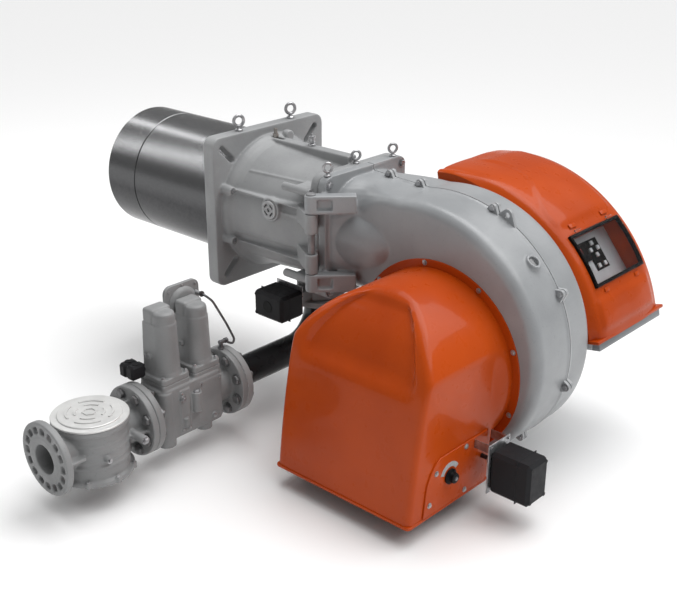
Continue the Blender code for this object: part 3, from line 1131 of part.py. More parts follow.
fuse(base, gather(*[base_sector(BASE_TOP - 0.030, BASE_TOP - 0.002, angle - BRACKET_SPREAD,
                                angle + BRACKET_SPREAD,
                                HOUSING_REAR + SEAT_GAP, BASE_NEAR + 0.020) for angle in BRACKET_ANGLES]))


# Blast tube and its end ring, the part inside the boiler
add_piece("blast_tube", tube(TUBE_RADIUS, TUBE_RADIUS - TUBE_WALL, -TUBE_LENGTH, TUBE_SOCKET_DEPTH - SEAT_GAP,
                             "X",
                             (0, 0, 0), 32), GALVANISED)
RING_START = -TUBE_LENGTH - SEAT_GAP
RING_END = RING_START - END_RING_LENGTH
add_piece("blast_tube_end_ring", turned(
    [(TUBE_RADIUS, RING_START), (TUBE_RADIUS, RING_END), (TUBE_RADIUS - 0.018, RING_END),
     (TUBE_RADIUS - 0.018, RING_END + 0.004), (TUBE_RADIUS - TUBE_WALL, RING_END + 0.006),
     (TUBE_RADIUS - TUBE_WALL, RING_START)], "X", (0, 0, 0), 32), GALVANISED)


# Gas lance on the head's axis, fed from the inlet below, with the sliding flame disc round it
LANCE_END = -0.475
LANCE_BACK = 0.300
LANCE_FOOT = -0.195
lance = add_piece("gas_lance", turned(
    [(0, LANCE_END), (LANCE_RADIUS - 0.012, LANCE_END), (LANCE_RADIUS, LANCE_END + 0.012),
     (LANCE_RADIUS, LANCE_BACK),
     (0, LANCE_BACK)], "X", (0, 0, 0), 16), BARE_STEEL)
fuse(lance, rod(DN_BORE - 0.0008, LANCE_FOOT, 0.0, "Z", (TRAIN_X, 0, 0), 16))
carve(lance, rod(LANCE_RADIUS - 0.005, LANCE_END + 0.010, LANCE_BACK - 0.004, "X", (0, 0, 0), 12))
carve(lance, rod(DN_BORE - 0.006, LANCE_FOOT - 0.01, 0.0, "Z", (TRAIN_X, 0, 0), 12))
carve(lance, gather(*[rod(0.006, LANCE_END - 0.01, LANCE_END + 0.02, "X", (0, u, v), 6)
                      for u, v in circle_places(6, 0.020)]))

DISC_PLATE = 0.003
flame_disc = add_piece("flame_disc", turned(
    [(LANCE_RADIUS + 0.001, FLAME_DISC_X), (FLAME_DISC_RADIUS - 0.012, FLAME_DISC_X),
     (FLAME_DISC_RADIUS, FLAME_DISC_X + 0.020),
     (FLAME_DISC_RADIUS, FLAME_DISC_X + 0.024), (FLAME_DISC_RADIUS - 0.013, FLAME_DISC_X + DISC_PLATE),
     (LANCE_RADIUS + 0.001, FLAME_DISC_X + DISC_PLATE)], "X", (0, 0, 0), 24), BARE_STEEL)
carve(flame_disc, gather(*[prism(slot_outline((u, v), math.degrees(math.atan2(v, u)) + 20, 0.050, 0.008, 1),
                                 FLAME_DISC_X - 0.01, FLAME_DISC_X + 0.01, "X")
                           for u, v in circle_places(6, 0.095)]))
ROD_LEVEL = 0.125
ROD_RADIUS = 0.005
STUD_TOP = 0.226
adjuster = add_piece("head_adjuster_rod",
                     rod(ROD_RADIUS, FLAME_DISC_X + DISC_PLATE + SEAT_GAP, ADJUSTER_X + 0.008, "X",
                                              (0, 0, ROD_LEVEL), 10), BARE_STEEL)
fuse(adjuster, rod(ADJUSTER_STUD_RADIUS, ROD_LEVEL - 0.002, STUD_TOP, "Z", (ADJUSTER_X, 0, 0), 10))
fuse(adjuster, rod(0.009, TOP_BAR_HEIGHT + 0.0006, TOP_BAR_HEIGHT + 0.010, "Z", (ADJUSTER_X, 0, 0), 6))
CLIP_X = -0.300
electrodes = add_piece("ignition_electrodes", gather(*[
    turned([(0, -0.420), (0.002, -0.420), (0.002, -0.390), (0.006, -0.385), (0.006, -0.240), (0, -0.240)], "X",
           (0, y, 0.080), 10) for y in (-0.025, 0.025)]), CERAMIC)
fuse(electrodes, box((CLIP_X, -0.034, 0.074), (CLIP_X + 0.008, 0.034, ROD_LEVEL + 0.010)))
carve(electrodes, rod(ROD_RADIUS + SEAT_GAP, CLIP_X - 0.01, CLIP_X + 0.02, "X", (0, 0, ROD_LEVEL), 10))
carry("mixing_head_axis", (FLAME_DISC_X, 0, 0), [flame_disc, adjuster, electrodes])


# Gas train: filter, double valve with its two actuators, pipe, butterfly valve and servo
def pipe_run(points, radius, sides):
    """Round bar bent along a run of points."""
    path = [Vector(point) for point in points]
    normal = None
    rings = []
    for i, point in enumerate(path):
        ahead = (path[min(i + 1, len(path) - 1)] - point).normalized() if i < len(path) - 1 else None
        behind = (point - path[i - 1]).normalized() if i else None
        run = ((ahead or behind) + (behind or ahead)).normalized()
        if normal is None:
            normal = run.orthogonal().normalized()
        normal = (normal - run * normal.dot(run)).normalized()
        other = run.cross(normal)
        widen = 1.0 if ahead is None or behind is None else 1.0 / max(run.dot(ahead), 0.5)
        inside = (ahead - behind).normalized() if widen > 1.001 else None
        ring = []
        for k in range(sides):
            angle = math.tau * k / sides
            reach = (normal * math.cos(angle) + other * math.sin(angle)) * radius
            if inside is not None:
                reach += inside * reach.dot(inside) * (widen - 1.0)
            ring.append(tuple(point + reach))
        rings.append(ring)
    return loft(rings)


def flange_disc(low, high, steps=24):
    return rod(DN_FLANGE_RADIUS, low, high, "Y", (TRAIN_X, 0, TRAIN_Z), steps)


VALVE_FRONT = VALVE_MIDDLE_Y - VALVE_LENGTH / 2
VALVE_REAR = VALVE_MIDDLE_Y + VALVE_LENGTH / 2
FILTER_REAR = VALVE_FRONT - SEAT_GAP
FILTER_Y = FILTER_REAR - FILTER_LENGTH / 2
FILTER_FRONT = FILTER_REAR - FILTER_LENGTH
FILTER_FLOOR = 0.012
NECK_RADIUS = 0.055

filter_body = add_piece("gas_filter_body", turned(
    [(0, FILTER_BASE), (FILTER_RADIUS + 0.010, FILTER_BASE), (FILTER_RADIUS + 0.010, FILTER_BASE + 0.014),
     (FILTER_RADIUS, FILTER_BASE + 0.018), (FILTER_RADIUS, FILTER_TOP - 0.016),
     (FILTER_COVER_RADIUS, FILTER_TOP - 0.012),
     (FILTER_COVER_RADIUS, FILTER_TOP), (0, FILTER_TOP)], "Z", (TRAIN_X, FILTER_Y, 0), 24), TRAIN_GREY)
fuse(filter_body, flange_disc(FILTER_FRONT, FILTER_FRONT + DN_FLANGE_THICKNESS))
fuse(filter_body, flange_disc(FILTER_REAR - DN_FLANGE_THICKNESS, FILTER_REAR))
fuse(filter_body, rod(NECK_RADIUS, FILTER_FRONT + 0.010, FILTER_REAR - 0.010, "Y", (TRAIN_X, 0, TRAIN_Z), 20))
carve(filter_body, rod(DN_BORE, FILTER_FRONT - 0.01, FILTER_REAR + 0.01, "Y", (TRAIN_X, 0, TRAIN_Z), 16))
carve(filter_body, rod(FILTER_RADIUS - 0.010, FILTER_BASE + FILTER_FLOOR, FILTER_TOP + 0.01, "Z",
                       (TRAIN_X, FILTER_Y, 0), 20))
carve(filter_body, gather(*[rod(DN_HOLE_RADIUS, FILTER_FRONT - 0.01,
                                FILTER_FRONT + DN_FLANGE_THICKNESS + 0.01, "Y",
                                (TRAIN_X + u, 0, TRAIN_Z + v), 6)
                            for u, v in circle_places(DN_BOLT_COUNT, DN_BOLT_CIRCLE, math.radians(22.5))]))
add_piece("filter_cover", turned(
    [(0, FILTER_TOP + SEAT_GAP), (FILTER_COVER_RADIUS, FILTER_TOP + SEAT_GAP),
     (FILTER_COVER_RADIUS, FILTER_TOP + 0.008),
     (FILTER_COVER_RADIUS - 0.003, FILTER_TOP + 0.010), (FILTER_COVER_RADIUS - 0.014, FILTER_TOP + 0.010),
     (FILTER_COVER_RADIUS - 0.016, FILTER_TOP + 0.008), (0, FILTER_TOP + 0.008)], "Z", (TRAIN_X, FILTER_Y, 0),
                                 24),
    LID_METAL)
add_piece("filter_cartridge", tube(0.070, 0.062, FILTER_BASE + FILTER_FLOOR + SEAT_GAP, FILTER_TOP - 0.004, "Z",
                                   (TRAIN_X, FILTER_Y, 0), 16), BARE_STEEL)

BLOCK_HALF = 0.055
BLOCK_FRONT = VALVE_MIDDLE_Y - 0.113
BLOCK_REAR = VALVE_MIDDLE_Y + 0.112
BLOCK_LOW = TRAIN_Z - 0.080
BLOCK_TOP = TRAIN_Z + 0.075
CHAMBER_RADIUS = 0.050
CHAMBER_PLACES = (VALVE_MIDDLE_Y - VALVE_SPACING / 2, VALVE_MIDDLE_Y + VALVE_SPACING / 2)
VALVE_DECK = ACTUATOR_SEAT_Z + 0.0035
STEM_RADIUS = 0.006
valve_body = add_piece("gas_valve_body", soft_box((TRAIN_X - BLOCK_HALF, BLOCK_FRONT, BLOCK_LOW),
                                                  (TRAIN_X + BLOCK_HALF, BLOCK_REAR, BLOCK_TOP), 0.012, 1),
                       TRAIN_GREY)
fuse(valve_body, rod(NECK_RADIUS, VALVE_FRONT + 0.01, VALVE_REAR - 0.01, "Y", (TRAIN_X, 0, TRAIN_Z), 16))
fuse(valve_body, flange_disc(VALVE_FRONT, VALVE_FRONT + DN_FLANGE_THICKNESS))
fuse(valve_body, flange_disc(VALVE_REAR - DN_FLANGE_THICKNESS, VALVE_REAR))
fuse(valve_body, gather(*[rod(CHAMBER_RADIUS - 0.001, BLOCK_LOW + 0.02, VALVE_DECK, "Z", (TRAIN_X, y, 0), 16)
                          for y in CHAMBER_PLACES]))
fuse(valve_body, gather(*[rod(0.025, BLOCK_LOW - 0.022, BLOCK_LOW + 0.01, "Z", (TRAIN_X, y, 0), 8)
                          for y in CHAMBER_PLACES]))
carve(valve_body, rod(DN_BORE, VALVE_FRONT - 0.01, VALVE_REAR + 0.01, "Y", (TRAIN_X, 0, TRAIN_Z), 16))
carve(valve_body, gather(*[turned([(0, TRAIN_Z - 0.045), (0.042, TRAIN_Z - 0.045), (0.042, TRAIN_Z + 0.045),
                                   (STEM_RADIUS + RUNNING_GAP, TRAIN_Z + 0.050),
                                   (STEM_RADIUS + RUNNING_GAP, VALVE_DECK + 0.01), (0, VALVE_DECK + 0.01)], "Z",
                                  (TRAIN_X, y, 0), 12) for y in CHAMBER_PLACES]))
VALVE_LIFT = 0.012
for side, place in zip(("inlet", "outlet"), CHAMBER_PLACES):
    disc = add_piece("valve_disc_" + side, turned(
        [(0, TRAIN_Z - 0.030), (0.036, TRAIN_Z - 0.030), (0.036, TRAIN_Z - 0.022),
         (STEM_RADIUS, TRAIN_Z - 0.016),
         (STEM_RADIUS, VALVE_DECK + 0.020), (0, VALVE_DECK + 0.020)], "Z", (TRAIN_X, place, 0), 12), BARE_STEEL)
    carry("valve_" + side + "_axis", (TRAIN_X, place, TRAIN_Z), [disc])


def column_ring(scale, z, place):
    """D-shaped outline, flat towards the boiler and round towards the fan."""
    points = [(-0.045, -0.038), (0.010, -0.038)] + arc((0.010, 0.0), 0.038, -60, 60, 5) + [(0.010, 0.038),
                                                                                           (-0.045, 0.038)]
    return [(TRAIN_X + u * scale, place + v * scale, z) for u, v in points]


ACTUATOR_BASE = VALVE_DECK + SEAT_GAP
PLATE_TOP = ACTUATOR_BASE + 0.020
for side, place, top in zip(("inlet", "outlet"), CHAMBER_PLACES, (ACTUATOR_HEIGHT, ACTUATOR_HEIGHT - 0.012)):
    actuator = add_piece("valve_actuator_" + side, prism(
        rounded_rectangle(0.050, 0.0475, 0.010, (TRAIN_X, place), 2), ACTUATOR_BASE, PLATE_TOP, "Z"),
                         TRAIN_GREY)
    cap = ACTUATOR_BASE + top - 0.040
    fuse(actuator, loft([column_ring(1.0, PLATE_TOP - 0.005, place), column_ring(0.94, cap, place)]))
    fuse(actuator, loft([column_ring(0.88, cap - 0.005, place), column_ring(0.86, cap + 0.034, place),
                         column_ring(0.74, cap + 0.040, place)]))
    carve(actuator, rod(STEM_RADIUS + RUNNING_GAP, ACTUATOR_BASE - 0.01, VALVE_DECK + 0.022 + VALVE_LIFT, "Z",
                        (TRAIN_X, place, 0), 12))

GOVERNOR_FACE = TRAIN_X - 0.045 - SEAT_GAP
GOVERNOR_LOW = -0.220
GOVERNOR_Y = -0.485
governor = add_piece("governor_housing", prism(
    rounded_rectangle(0.060, 0.060, 0.022, (GOVERNOR_Y, GOVERNOR_LOW + 0.060), 3), GOVERNOR_FACE - 0.038,
    GOVERNOR_FACE, "X"), TRAIN_GREY)
fuse(governor, rod(0.006, GOVERNOR_FACE - 0.010, GOVERNOR_FACE + 0.012, "X", (0, GOVERNOR_Y + 0.046, -0.138),
                   8))

fuse(governor, rod(0.012, GOVERNOR_FACE - 0.005, GOVERNOR_FACE + 0.002, "X", (0, CHAMBER_PLACES[1], -0.195), 8))

FITTING = (TRAIN_X, VALVE_REAR - 0.010, TRAIN_Z + DN_FLANGE_RADIUS * math.cos(math.pi / 24))
TUBE_START = (GOVERNOR_FACE + 0.0132, GOVERNOR_Y + 0.046, -0.138)
add_piece("impulse_tube", pipe_run(
    [TUBE_START, (0.222, GOVERNOR_Y + 0.048, -0.140), (0.232, -0.420, -0.158), (0.2425, -0.378, -0.240),
     (TRAIN_X, -0.352, -0.290), (TRAIN_X, -0.350, -0.304), (TRAIN_X, -0.360, -0.3085),
     (TRAIN_X, -0.374, -0.300),
     (TRAIN_X, -0.384, -0.291), (TRAIN_X, -0.397, -0.289), (TRAIN_X, FITTING[1], -0.293),
     (TRAIN_X, FITTING[1], FITTING[2] + SEAT_GAP)], 0.003, 8), BARE_STEEL)

SWITCH_LOW = max(ACTUATOR_BASE + 0.007, TRAIN_Z + DN_FLANGE_RADIUS + 0.001)
switch_box = add_piece("gas_pressure_switch", soft_box((TRAIN_X - 0.073, CHAMBER_PLACES[0] - 0.099, SWITCH_LOW),
                                                       (TRAIN_X - 0.013, CHAMBER_PLACES[0] - 0.051,
                                                        ACTUATOR_BASE + 0.052),
                                                       0.003, 1), BLACK_PLASTIC)
fuse(switch_box, rod(0.006, CHAMBER_PLACES[0] - 0.055, CHAMBER_PLACES[0] - 0.0475 - SEAT_GAP, "Y",
                     (TRAIN_X - 0.028, 0, ACTUATOR_BASE + 0.0135), 8))

PIPE_FACE = VALVE_REAR + SEAT_GAP
PIPE_TOP = BUTTERFLY_Z - BUTTERFLY_HEIGHT / 2 - SEAT_GAP
BEND_START = -ELBOW_RADIUS
PIPE_FLANGE_RADIUS = 0.080
bend = [(TRAIN_X, BEND_START + ELBOW_RADIUS * math.sin(a), TRAIN_Z + ELBOW_RADIUS * (1 - math.cos(a)))
        for a in (math.radians(90 * k / 5) for k in range(6))]
pipe = add_piece("gas_pipe", pipe_run([(TRAIN_X, PIPE_FACE + 0.005, TRAIN_Z)] + bend + [(TRAIN_X, 0,
                                                                                         PIPE_TOP - 0.004)],
                                      PIPE_RADIUS, 16), BLACK_PAINT)
fuse(pipe, flange_disc(PIPE_FACE, PIPE_FACE + DN_FLANGE_THICKNESS))
fuse(pipe, rod(PIPE_FLANGE_RADIUS, PIPE_TOP - 0.018, PIPE_TOP, "Z", (TRAIN_X, 0, 0), 24))
carve(pipe, pipe_run([(TRAIN_X, PIPE_FACE - 0.01, TRAIN_Z)] + bend + [(TRAIN_X, 0, PIPE_TOP + 0.01)],
                     PIPE_RADIUS - PIPE_WALL, 14))

BODY_LOW = BUTTERFLY_Z - BUTTERFLY_HEIGHT / 2
butterfly_body = add_piece("gas_butterfly_body",
                           rod(BUTTERFLY_RADIUS, BODY_LOW, HEAD_INLET_FACE - SEAT_GAP, "Z",
                                                     (TRAIN_X, 0, 0), 24), TRAIN_GREY)
fuse(butterfly_body, box((TRAIN_X - 0.030, GAS_SERVO_Y + SEAT_GAP, BUTTERFLY_Z - 0.018),
                         (TRAIN_X + 0.030, -BUTTERFLY_RADIUS + 0.02, BUTTERFLY_Z + 0.018)))
carve(butterfly_body, rod(DN_BORE, BODY_LOW - 0.01, BODY_LOW + 0.06, "Z", (TRAIN_X, 0, 0), 24))
carve(butterfly_body, rod(DAMPER_SHAFT_RADIUS + RUNNING_GAP, GAS_SERVO_Y - 0.01, 0.055, "Y",
                          (TRAIN_X, 0, BUTTERFLY_Z), 12))
butterfly = add_piece("gas_butterfly_disc", rod(DN_BORE - 0.0015, BUTTERFLY_Z - 0.002, BUTTERFLY_Z + 0.002, "Z",
                                                (TRAIN_X, 0, 0), 20), BARE_STEEL)
fuse(butterfly, rod(DAMPER_SHAFT_RADIUS, GAS_SERVO_Y + 0.006, 0.052, "Y", (TRAIN_X, 0, BUTTERFLY_Z), 12))
carry("butterfly_axis", (TRAIN_X, 0, BUTTERFLY_Z), [butterfly])

GAS_SERVO_X = TRAIN_X - 0.013
add_piece("gas_servo", soft_box((GAS_SERVO_X - GAS_SERVO_SIZE[0] / 2, GAS_SERVO_Y - GAS_SERVO_SIZE[1],
                                 BUTTERFLY_Z - 0.050),
                                (GAS_SERVO_X + GAS_SERVO_SIZE[0] / 2, GAS_SERVO_Y,
                                 BUTTERFLY_Z - 0.050 + GAS_SERVO_SIZE[2]),
                                0.006, 1), BLACK_PLASTIC)

FLANGE_BOLT_ACROSS = 0.024
FLANGE_BOLT_HEAD = 0.010
for piece, y, axis in ((filter_body, FILTER_REAR - DN_FLANGE_THICKNESS, "-Y"),
                       (valve_body, VALVE_FRONT + DN_FLANGE_THICKNESS, "Y"),
                       (valve_body, VALVE_REAR - DN_FLANGE_THICKNESS, "-Y"),
                       (pipe, PIPE_FACE + DN_FLANGE_THICKNESS, "Y")):
    fuse(piece, gather(*[bolt_head((TRAIN_X + u, y, TRAIN_Z + v), axis, FLANGE_BOLT_ACROSS, FLANGE_BOLT_HEAD)
                         for u, v in circle_places(DN_BOLT_COUNT, DN_BOLT_CIRCLE, math.radians(22.5))]))


# The rotor turns on the motor's axis, and the whole fan unit swings on the hinge pin
carry("rotor_axis", (FAN_X, 0, FAN_Z), [impeller, rotor, cooling_fan])
FAN_UNIT = ("volute_front_shell", "volute_rear_shell", "sight_glass", "fan_eye_bolt_near", "fan_eye_bolt_far",
            "inlet_cone", "air_hood", "hood_side_panel", "air_servo", "air_servo_bracket",
            "motor_housing", "motor_fan_cowl", "panel_cover", "panel_base", "panel_facia", "window_frame",
            "display_module", "rotor_axis", "rear_damper_axis", "front_damper_axis", "flap_axis",
            "rocker_left_axis", "rocker_right_axis")
KEY_AXES = tuple("key_" + str(number) + "_axis" for number in range(1, len(KEY_PLACES) + 1))
carry("fan_unit_hinge", (PIN_X, PIN_Y, 0.0), [bpy.data.objects[name] for name in FAN_UNIT + KEY_AXES])
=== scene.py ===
import math

import bmesh
import bpy
from mathutils import Matrix, Vector


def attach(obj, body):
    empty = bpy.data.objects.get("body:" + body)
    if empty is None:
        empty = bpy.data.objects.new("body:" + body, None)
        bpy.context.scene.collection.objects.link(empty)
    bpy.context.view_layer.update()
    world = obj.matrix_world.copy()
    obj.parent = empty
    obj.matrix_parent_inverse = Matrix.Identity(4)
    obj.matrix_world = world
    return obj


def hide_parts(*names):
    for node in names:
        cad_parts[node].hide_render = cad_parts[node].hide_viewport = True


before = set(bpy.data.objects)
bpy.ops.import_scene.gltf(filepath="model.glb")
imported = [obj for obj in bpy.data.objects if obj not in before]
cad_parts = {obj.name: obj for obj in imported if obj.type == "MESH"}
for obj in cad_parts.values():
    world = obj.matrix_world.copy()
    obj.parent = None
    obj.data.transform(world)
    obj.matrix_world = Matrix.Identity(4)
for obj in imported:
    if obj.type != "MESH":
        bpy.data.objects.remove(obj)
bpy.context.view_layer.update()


# Where the burner stands: a pale seamless floor just under the hood and a camera from above on the
# gas-train side. Soft lights hang overhead, right and left, and two strips draw lines on the tube.
FLOOR_Z = -0.575
camera = bpy.data.objects.new("camera", bpy.data.cameras.new("camera"))
bpy.context.collection.objects.link(camera)
camera.location = (2.4272, -2.2784, 1.0475)
aim = Vector((0.3729, -0.0498, -0.2575)) - camera.location
camera.rotation_euler = aim.to_track_quat("-Z", "Y").to_euler()
camera.data.lens = 58.99
camera.data.sensor_width = 36
camera.data.clip_start = 0.05
camera.data.clip_end = 60
bpy.context.scene.camera = camera
bpy.context.scene.view_settings.view_transform = "Standard"

floor_mesh = bpy.data.meshes.new("floor")
bm = bmesh.new()
bmesh.ops.create_grid(bm, x_segments=1, y_segments=1, size=45, matrix=Matrix.Translation((0, 0, FLOOR_Z)))
bm.to_mesh(floor_mesh)
bm.free()
floor = bpy.data.objects.new("floor", floor_mesh)
bpy.context.collection.objects.link(floor)
floor_paint = bpy.data.materials.new("pale_floor")
floor_paint.use_nodes = True
shader = floor_paint.node_tree.nodes["Principled BSDF"]
shader.inputs["Base Color"].default_value = (0.94, 0.94, 0.94, 1)
shader.inputs["Roughness"].default_value = 0.6
floor_mesh.materials.append(floor_paint)

world = bpy.data.worlds.new("studio")
bpy.context.scene.world = world
world.use_nodes = True
background = world.node_tree.nodes["Background"]
background.inputs["Color"].default_value = (1.0, 1.0, 1.0, 1)
background.inputs["Strength"].default_value = 0.26


def soft_light(name, place, target, size, power):
    """Square of soft light that faces its target."""
    light = bpy.data.objects.new(name, bpy.data.lights.new(name, "AREA"))
    light.data.shape = "RECTANGLE"
    light.data.size, light.data.size_y = size
    light.data.energy = power
    light.location = place
    light.rotation_euler = (Vector(target) - Vector(place)).to_track_quat("-Z", "Y").to_euler()
    bpy.context.collection.objects.link(light)


soft_light("top_box", (0.45, 0.75, 3.0), (0.45, 0.0, -0.2), (3.4, 1.8), 40)
soft_light("right_box", (3.6, 1.0, 1.6), (0.6, 0.0, -0.2), (1.4, 2.0), 4)
soft_light("tube_strip_high", (-2.23, 0.18, 1.93), (-0.2, 0.0, 0.0), (0.30, 1.8), 6.5)
soft_light("tube_strip_low", (-2.23, -1.21, 1.51), (-0.2, 0.0, 0.0), (0.12, 1.8), 3)
soft_light("left_box", (-2.6, -1.6, 2.2), (0.1, 0.0, -0.2), (1.4, 1.8), 8)
overhead = bpy.data.objects.new("overhead", bpy.data.lights.new("overhead", "SUN"))
overhead.data.energy = 2.5
overhead.data.angle = math.radians(70)
overhead.rotation_euler = (math.radians(-18), math.radians(14), 0)
bpy.context.collection.objects.link(overhead)


# Burner head: one grey-painted casting with the square boiler flange, a round barrel with ribs and
# bosses, the hinge barrels and the neck flange. It carries a screwed sight plug and a pressure tap.
def finish(name, colour, metallic=0.0, roughness=0.45, coat=0.0, coat_roughness=0.08):
    """A surface finish with its own shader, still without its pattern."""
    made = bpy.data.materials.new(name)
    made.use_nodes = True
    shader = made.node_tree.nodes["Principled BSDF"]
    shader.inputs["Base Color"].default_value = (*colour, 1)
    shader.inputs["Metallic"].default_value = metallic
    shader.inputs["Roughness"].default_value = roughness
    shader.inputs["Coat Weight"].default_value = coat
    shader.inputs["Coat Roughness"].default_value = coat_roughness
    return made


def noise(tree, scale, detail=4.0, stretch=(1, 1, 1)):
    """Noise over the piece in metres, stretched along an axis where the surface was worked."""
    where = tree.nodes.new("ShaderNodeTexCoord")
    mapping = tree.nodes.new("ShaderNodeMapping")
    mapping.inputs["Scale"].default_value = stretch
    tree.links.new(where.outputs["Object"], mapping.inputs["Vector"])
    texture = tree.nodes.new("ShaderNodeTexNoise")
    texture.inputs["Scale"].default_value = scale
    texture.inputs["Detail"].default_value = detail
    tree.links.new(mapping.outputs["Vector"], texture.inputs["Vector"])
    return texture.outputs["Fac"]


def spread(tree, value, low, high, start=0.3, end=0.7):
    """Maps a pattern onto a range of values."""
    node = tree.nodes.new("ShaderNodeMapRange")
    node.inputs["From Min"].default_value = start
    node.inputs["From Max"].default_value = end
    node.inputs["To Min"].default_value = low
    node.inputs["To Max"].default_value = high
    tree.links.new(value, node.inputs["Value"])
    return node.outputs["Result"]


def shades(tree, value, dark, light, start=0.3, end=0.7):
    """Colours from dark to light along a pattern."""
    ramp = tree.nodes.new("ShaderNodeValToRGB")
    ramp.color_ramp.elements[0].position = start
    ramp.color_ramp.elements[0].color = (*dark, 1)
    ramp.color_ramp.elements[1].position = end
    ramp.color_ramp.elements[1].color = (*light, 1)
    tree.links.new(value, ramp.inputs["Fac"])
    return ramp.outputs["Color"]


def blend_colours(tree, share, under, over):
    """Lays one colour over another by a share."""
    mix = tree.nodes.new("ShaderNodeMix")
    mix.data_type = "RGBA"
    tree.links.new(share, mix.inputs["Factor"])
    tree.links.new(under, mix.inputs["A"])
    if isinstance(over, tuple):
        mix.inputs["B"].default_value = (*over, 1)
    else:
        tree.links.new(over, mix.inputs["B"])
    return mix.outputs["Result"]


def grain(tree, value, depth, under=None):
    """Height pattern, in metres, as bump."""
    bump = tree.nodes.new("ShaderNodeBump")
    bump.inputs["Strength"].default_value = 1.0
    bump.inputs["Distance"].default_value = depth
    tree.links.new(value, bump.inputs["Height"])
    if under is not None:
        tree.links.new(under, bump.inputs["Normal"])
    return bump.outputs["Normal"]


def patterned(name, colour, metallic, roughness, tones, gloss=None, bumps=None, coat=0.0):
    """A finish whose colour, gloss and grain drift over the piece.

    The tones are (scale, detail, dark, light), the gloss is (scale, detail, low, high), and the bumps
    are (scale, detail, depth) with a stretch after them where the surface was worked.
    """
    made = finish(name, colour, metallic, roughness, coat)
    tree = made.node_tree
    shader = tree.nodes["Principled BSDF"]
    scale, detail, dark, light = tones
    tree.links.new(shades(tree, noise(tree, scale, detail), dark, light), shader.inputs["Base Color"])
    if gloss:
        scale, detail, low, high = gloss
        tree.links.new(spread(tree, noise(tree, scale, detail), low, high), shader.inputs["Roughness"])
    if bumps:
        scale, detail, depth, *stretch = bumps
        tree.links.new(grain(tree, noise(tree, scale, detail, *stretch), depth), shader.inputs["Normal"])
    return made


def worn_edges(tree, low, high):
    """Share that rises on outer edges, where paint is thin or handled."""
    shape = tree.nodes.new("ShaderNodeNewGeometry")
    return spread(tree, shape.outputs["Pointiness"], 0.0, 1.0, low, high)


def cast_paint(name, dark, light, edge, rough, grain_depth, coat=0.0):
    """Stoved paint on a casting: soft mottling, sand grain under it, paler outer edges."""
    made = finish(name, light, 0.0, rough, coat, 0.15)
    tree = made.node_tree
    shader = tree.nodes["Principled BSDF"]
    base = shades(tree, noise(tree, 7, 6), dark, light, 0.32, 0.62)
    specks = spread(tree, noise(tree, 160, 3), 0.0, 0.35, 0.62, 0.75)
    base = blend_colours(tree, specks, base, tuple(c * 0.75 for c in dark))
    base = blend_colours(tree, worn_edges(tree, 0.53, 0.60), base, edge)
    tree.links.new(base, shader.inputs["Base Color"])
    tree.links.new(spread(tree, noise(tree, 24, 5), rough - 0.07, rough + 0.08), shader.inputs["Roughness"])
    rough_sand = grain(tree, noise(tree, 420, 3), grain_depth)
    tree.links.new(grain(tree, noise(tree, 60, 4), grain_depth * 2.4, rough_sand), shader.inputs["Normal"])
    return made


HEAD_PAINT = cast_paint("head_grey_paint", (0.265, 0.270, 0.275), (0.330, 0.335, 0.340), (0.45, 0.455, 0.46),
                        0.46, 0.00018)
# Bolts, eyes and pins: zinc-plated steel with a little handling dirt.
ZINC_STEEL = patterned("zinc_plated_steel", (0.46, 0.46, 0.47), 0.85, 0.34,
                       tones=(45, 5, (0.26, 0.26, 0.27), (0.56, 0.56, 0.57)), gloss=(130, 4, 0.26, 0.48),
                       bumps=(500, 3, 0.0001))


AXIS_TURN = {"Z": Matrix.Identity(4), "X": Matrix(((0, 0, 1, 0), (1, 0, 0, 0), (0, 1, 0, 0), (0, 0, 0, 1))),
             "Y": Matrix(((0, 1, 0, 0), (0, 0, 1, 0), (1, 0, 0, 0), (0, 0, 0, 1)))}


def gather(*shapes):
    """Several shapes as one mesh."""
    whole = bmesh.new()
    for shape in shapes:
        held = bpy.data.meshes.new("held")
        shape.to_mesh(held)
        whole.from_mesh(held)
        shape.free()
        bpy.data.meshes.remove(held)
    return whole


def moved(shape, matrix):
    """Puts a shape in its place."""
    bmesh.ops.transform(shape, matrix=matrix, verts=shape.verts)
    return shape


def turned(profile, axis="Z", place=(0, 0, 0), steps=48, arc=math.tau):
    """Turned on a lathe: profile is (radius, distance along the axis), closed where it leaves the axis."""
    bm = bmesh.new()
    verts = [bm.verts.new((radius, 0, along)) for radius, along in profile]
    edges = [bm.edges.new(pair) for pair in zip(verts, verts[1:])]
    if profile[0][0] > 0 and profile[-1][0] > 0:
        edges.append(bm.edges.new((verts[-1], verts[0])))
    bmesh.ops.spin(bm, geom=verts + edges, cent=(0, 0, 0), axis=(0, 0, 1), angle=arc, steps=steps,
                   use_merge=arc >= math.tau)
    bmesh.ops.remove_doubles(bm, verts=bm.verts, dist=1e-6)
    bmesh.ops.recalc_face_normals(bm, faces=bm.faces)
    return moved(bm, Matrix.Translation(place) @ AXIS_TURN[axis])


def bar(radius, start, end, axis="Z", place=(0, 0, 0), sides=32):
    """Round bar between two places along an axis."""
    bm = bmesh.new()
    bmesh.ops.create_cone(bm, cap_ends=True, segments=sides, radius1=radius, radius2=radius, depth=end - start,
                          matrix=Matrix.Translation((0, 0, (start + end) / 2)))
    return moved(bm, Matrix.Translation(place) @ AXIS_TURN[axis])


def round_off(shape, edges, width, segments):
    """Breaks the given edges with a small round."""
    bmesh.ops.bevel(shape, geom=edges, offset=width, segments=segments, profile=0.5, affect="EDGES", material=-1)


def rims(shape, axis):
    """Edges of the two flat faces of a shape that was pushed along the axis."""
    k = "XYZ".index(axis)
    return [e for e in shape.edges if abs(e.verts[0].co[k] - e.verts[1].co[k]) < 1e-6]


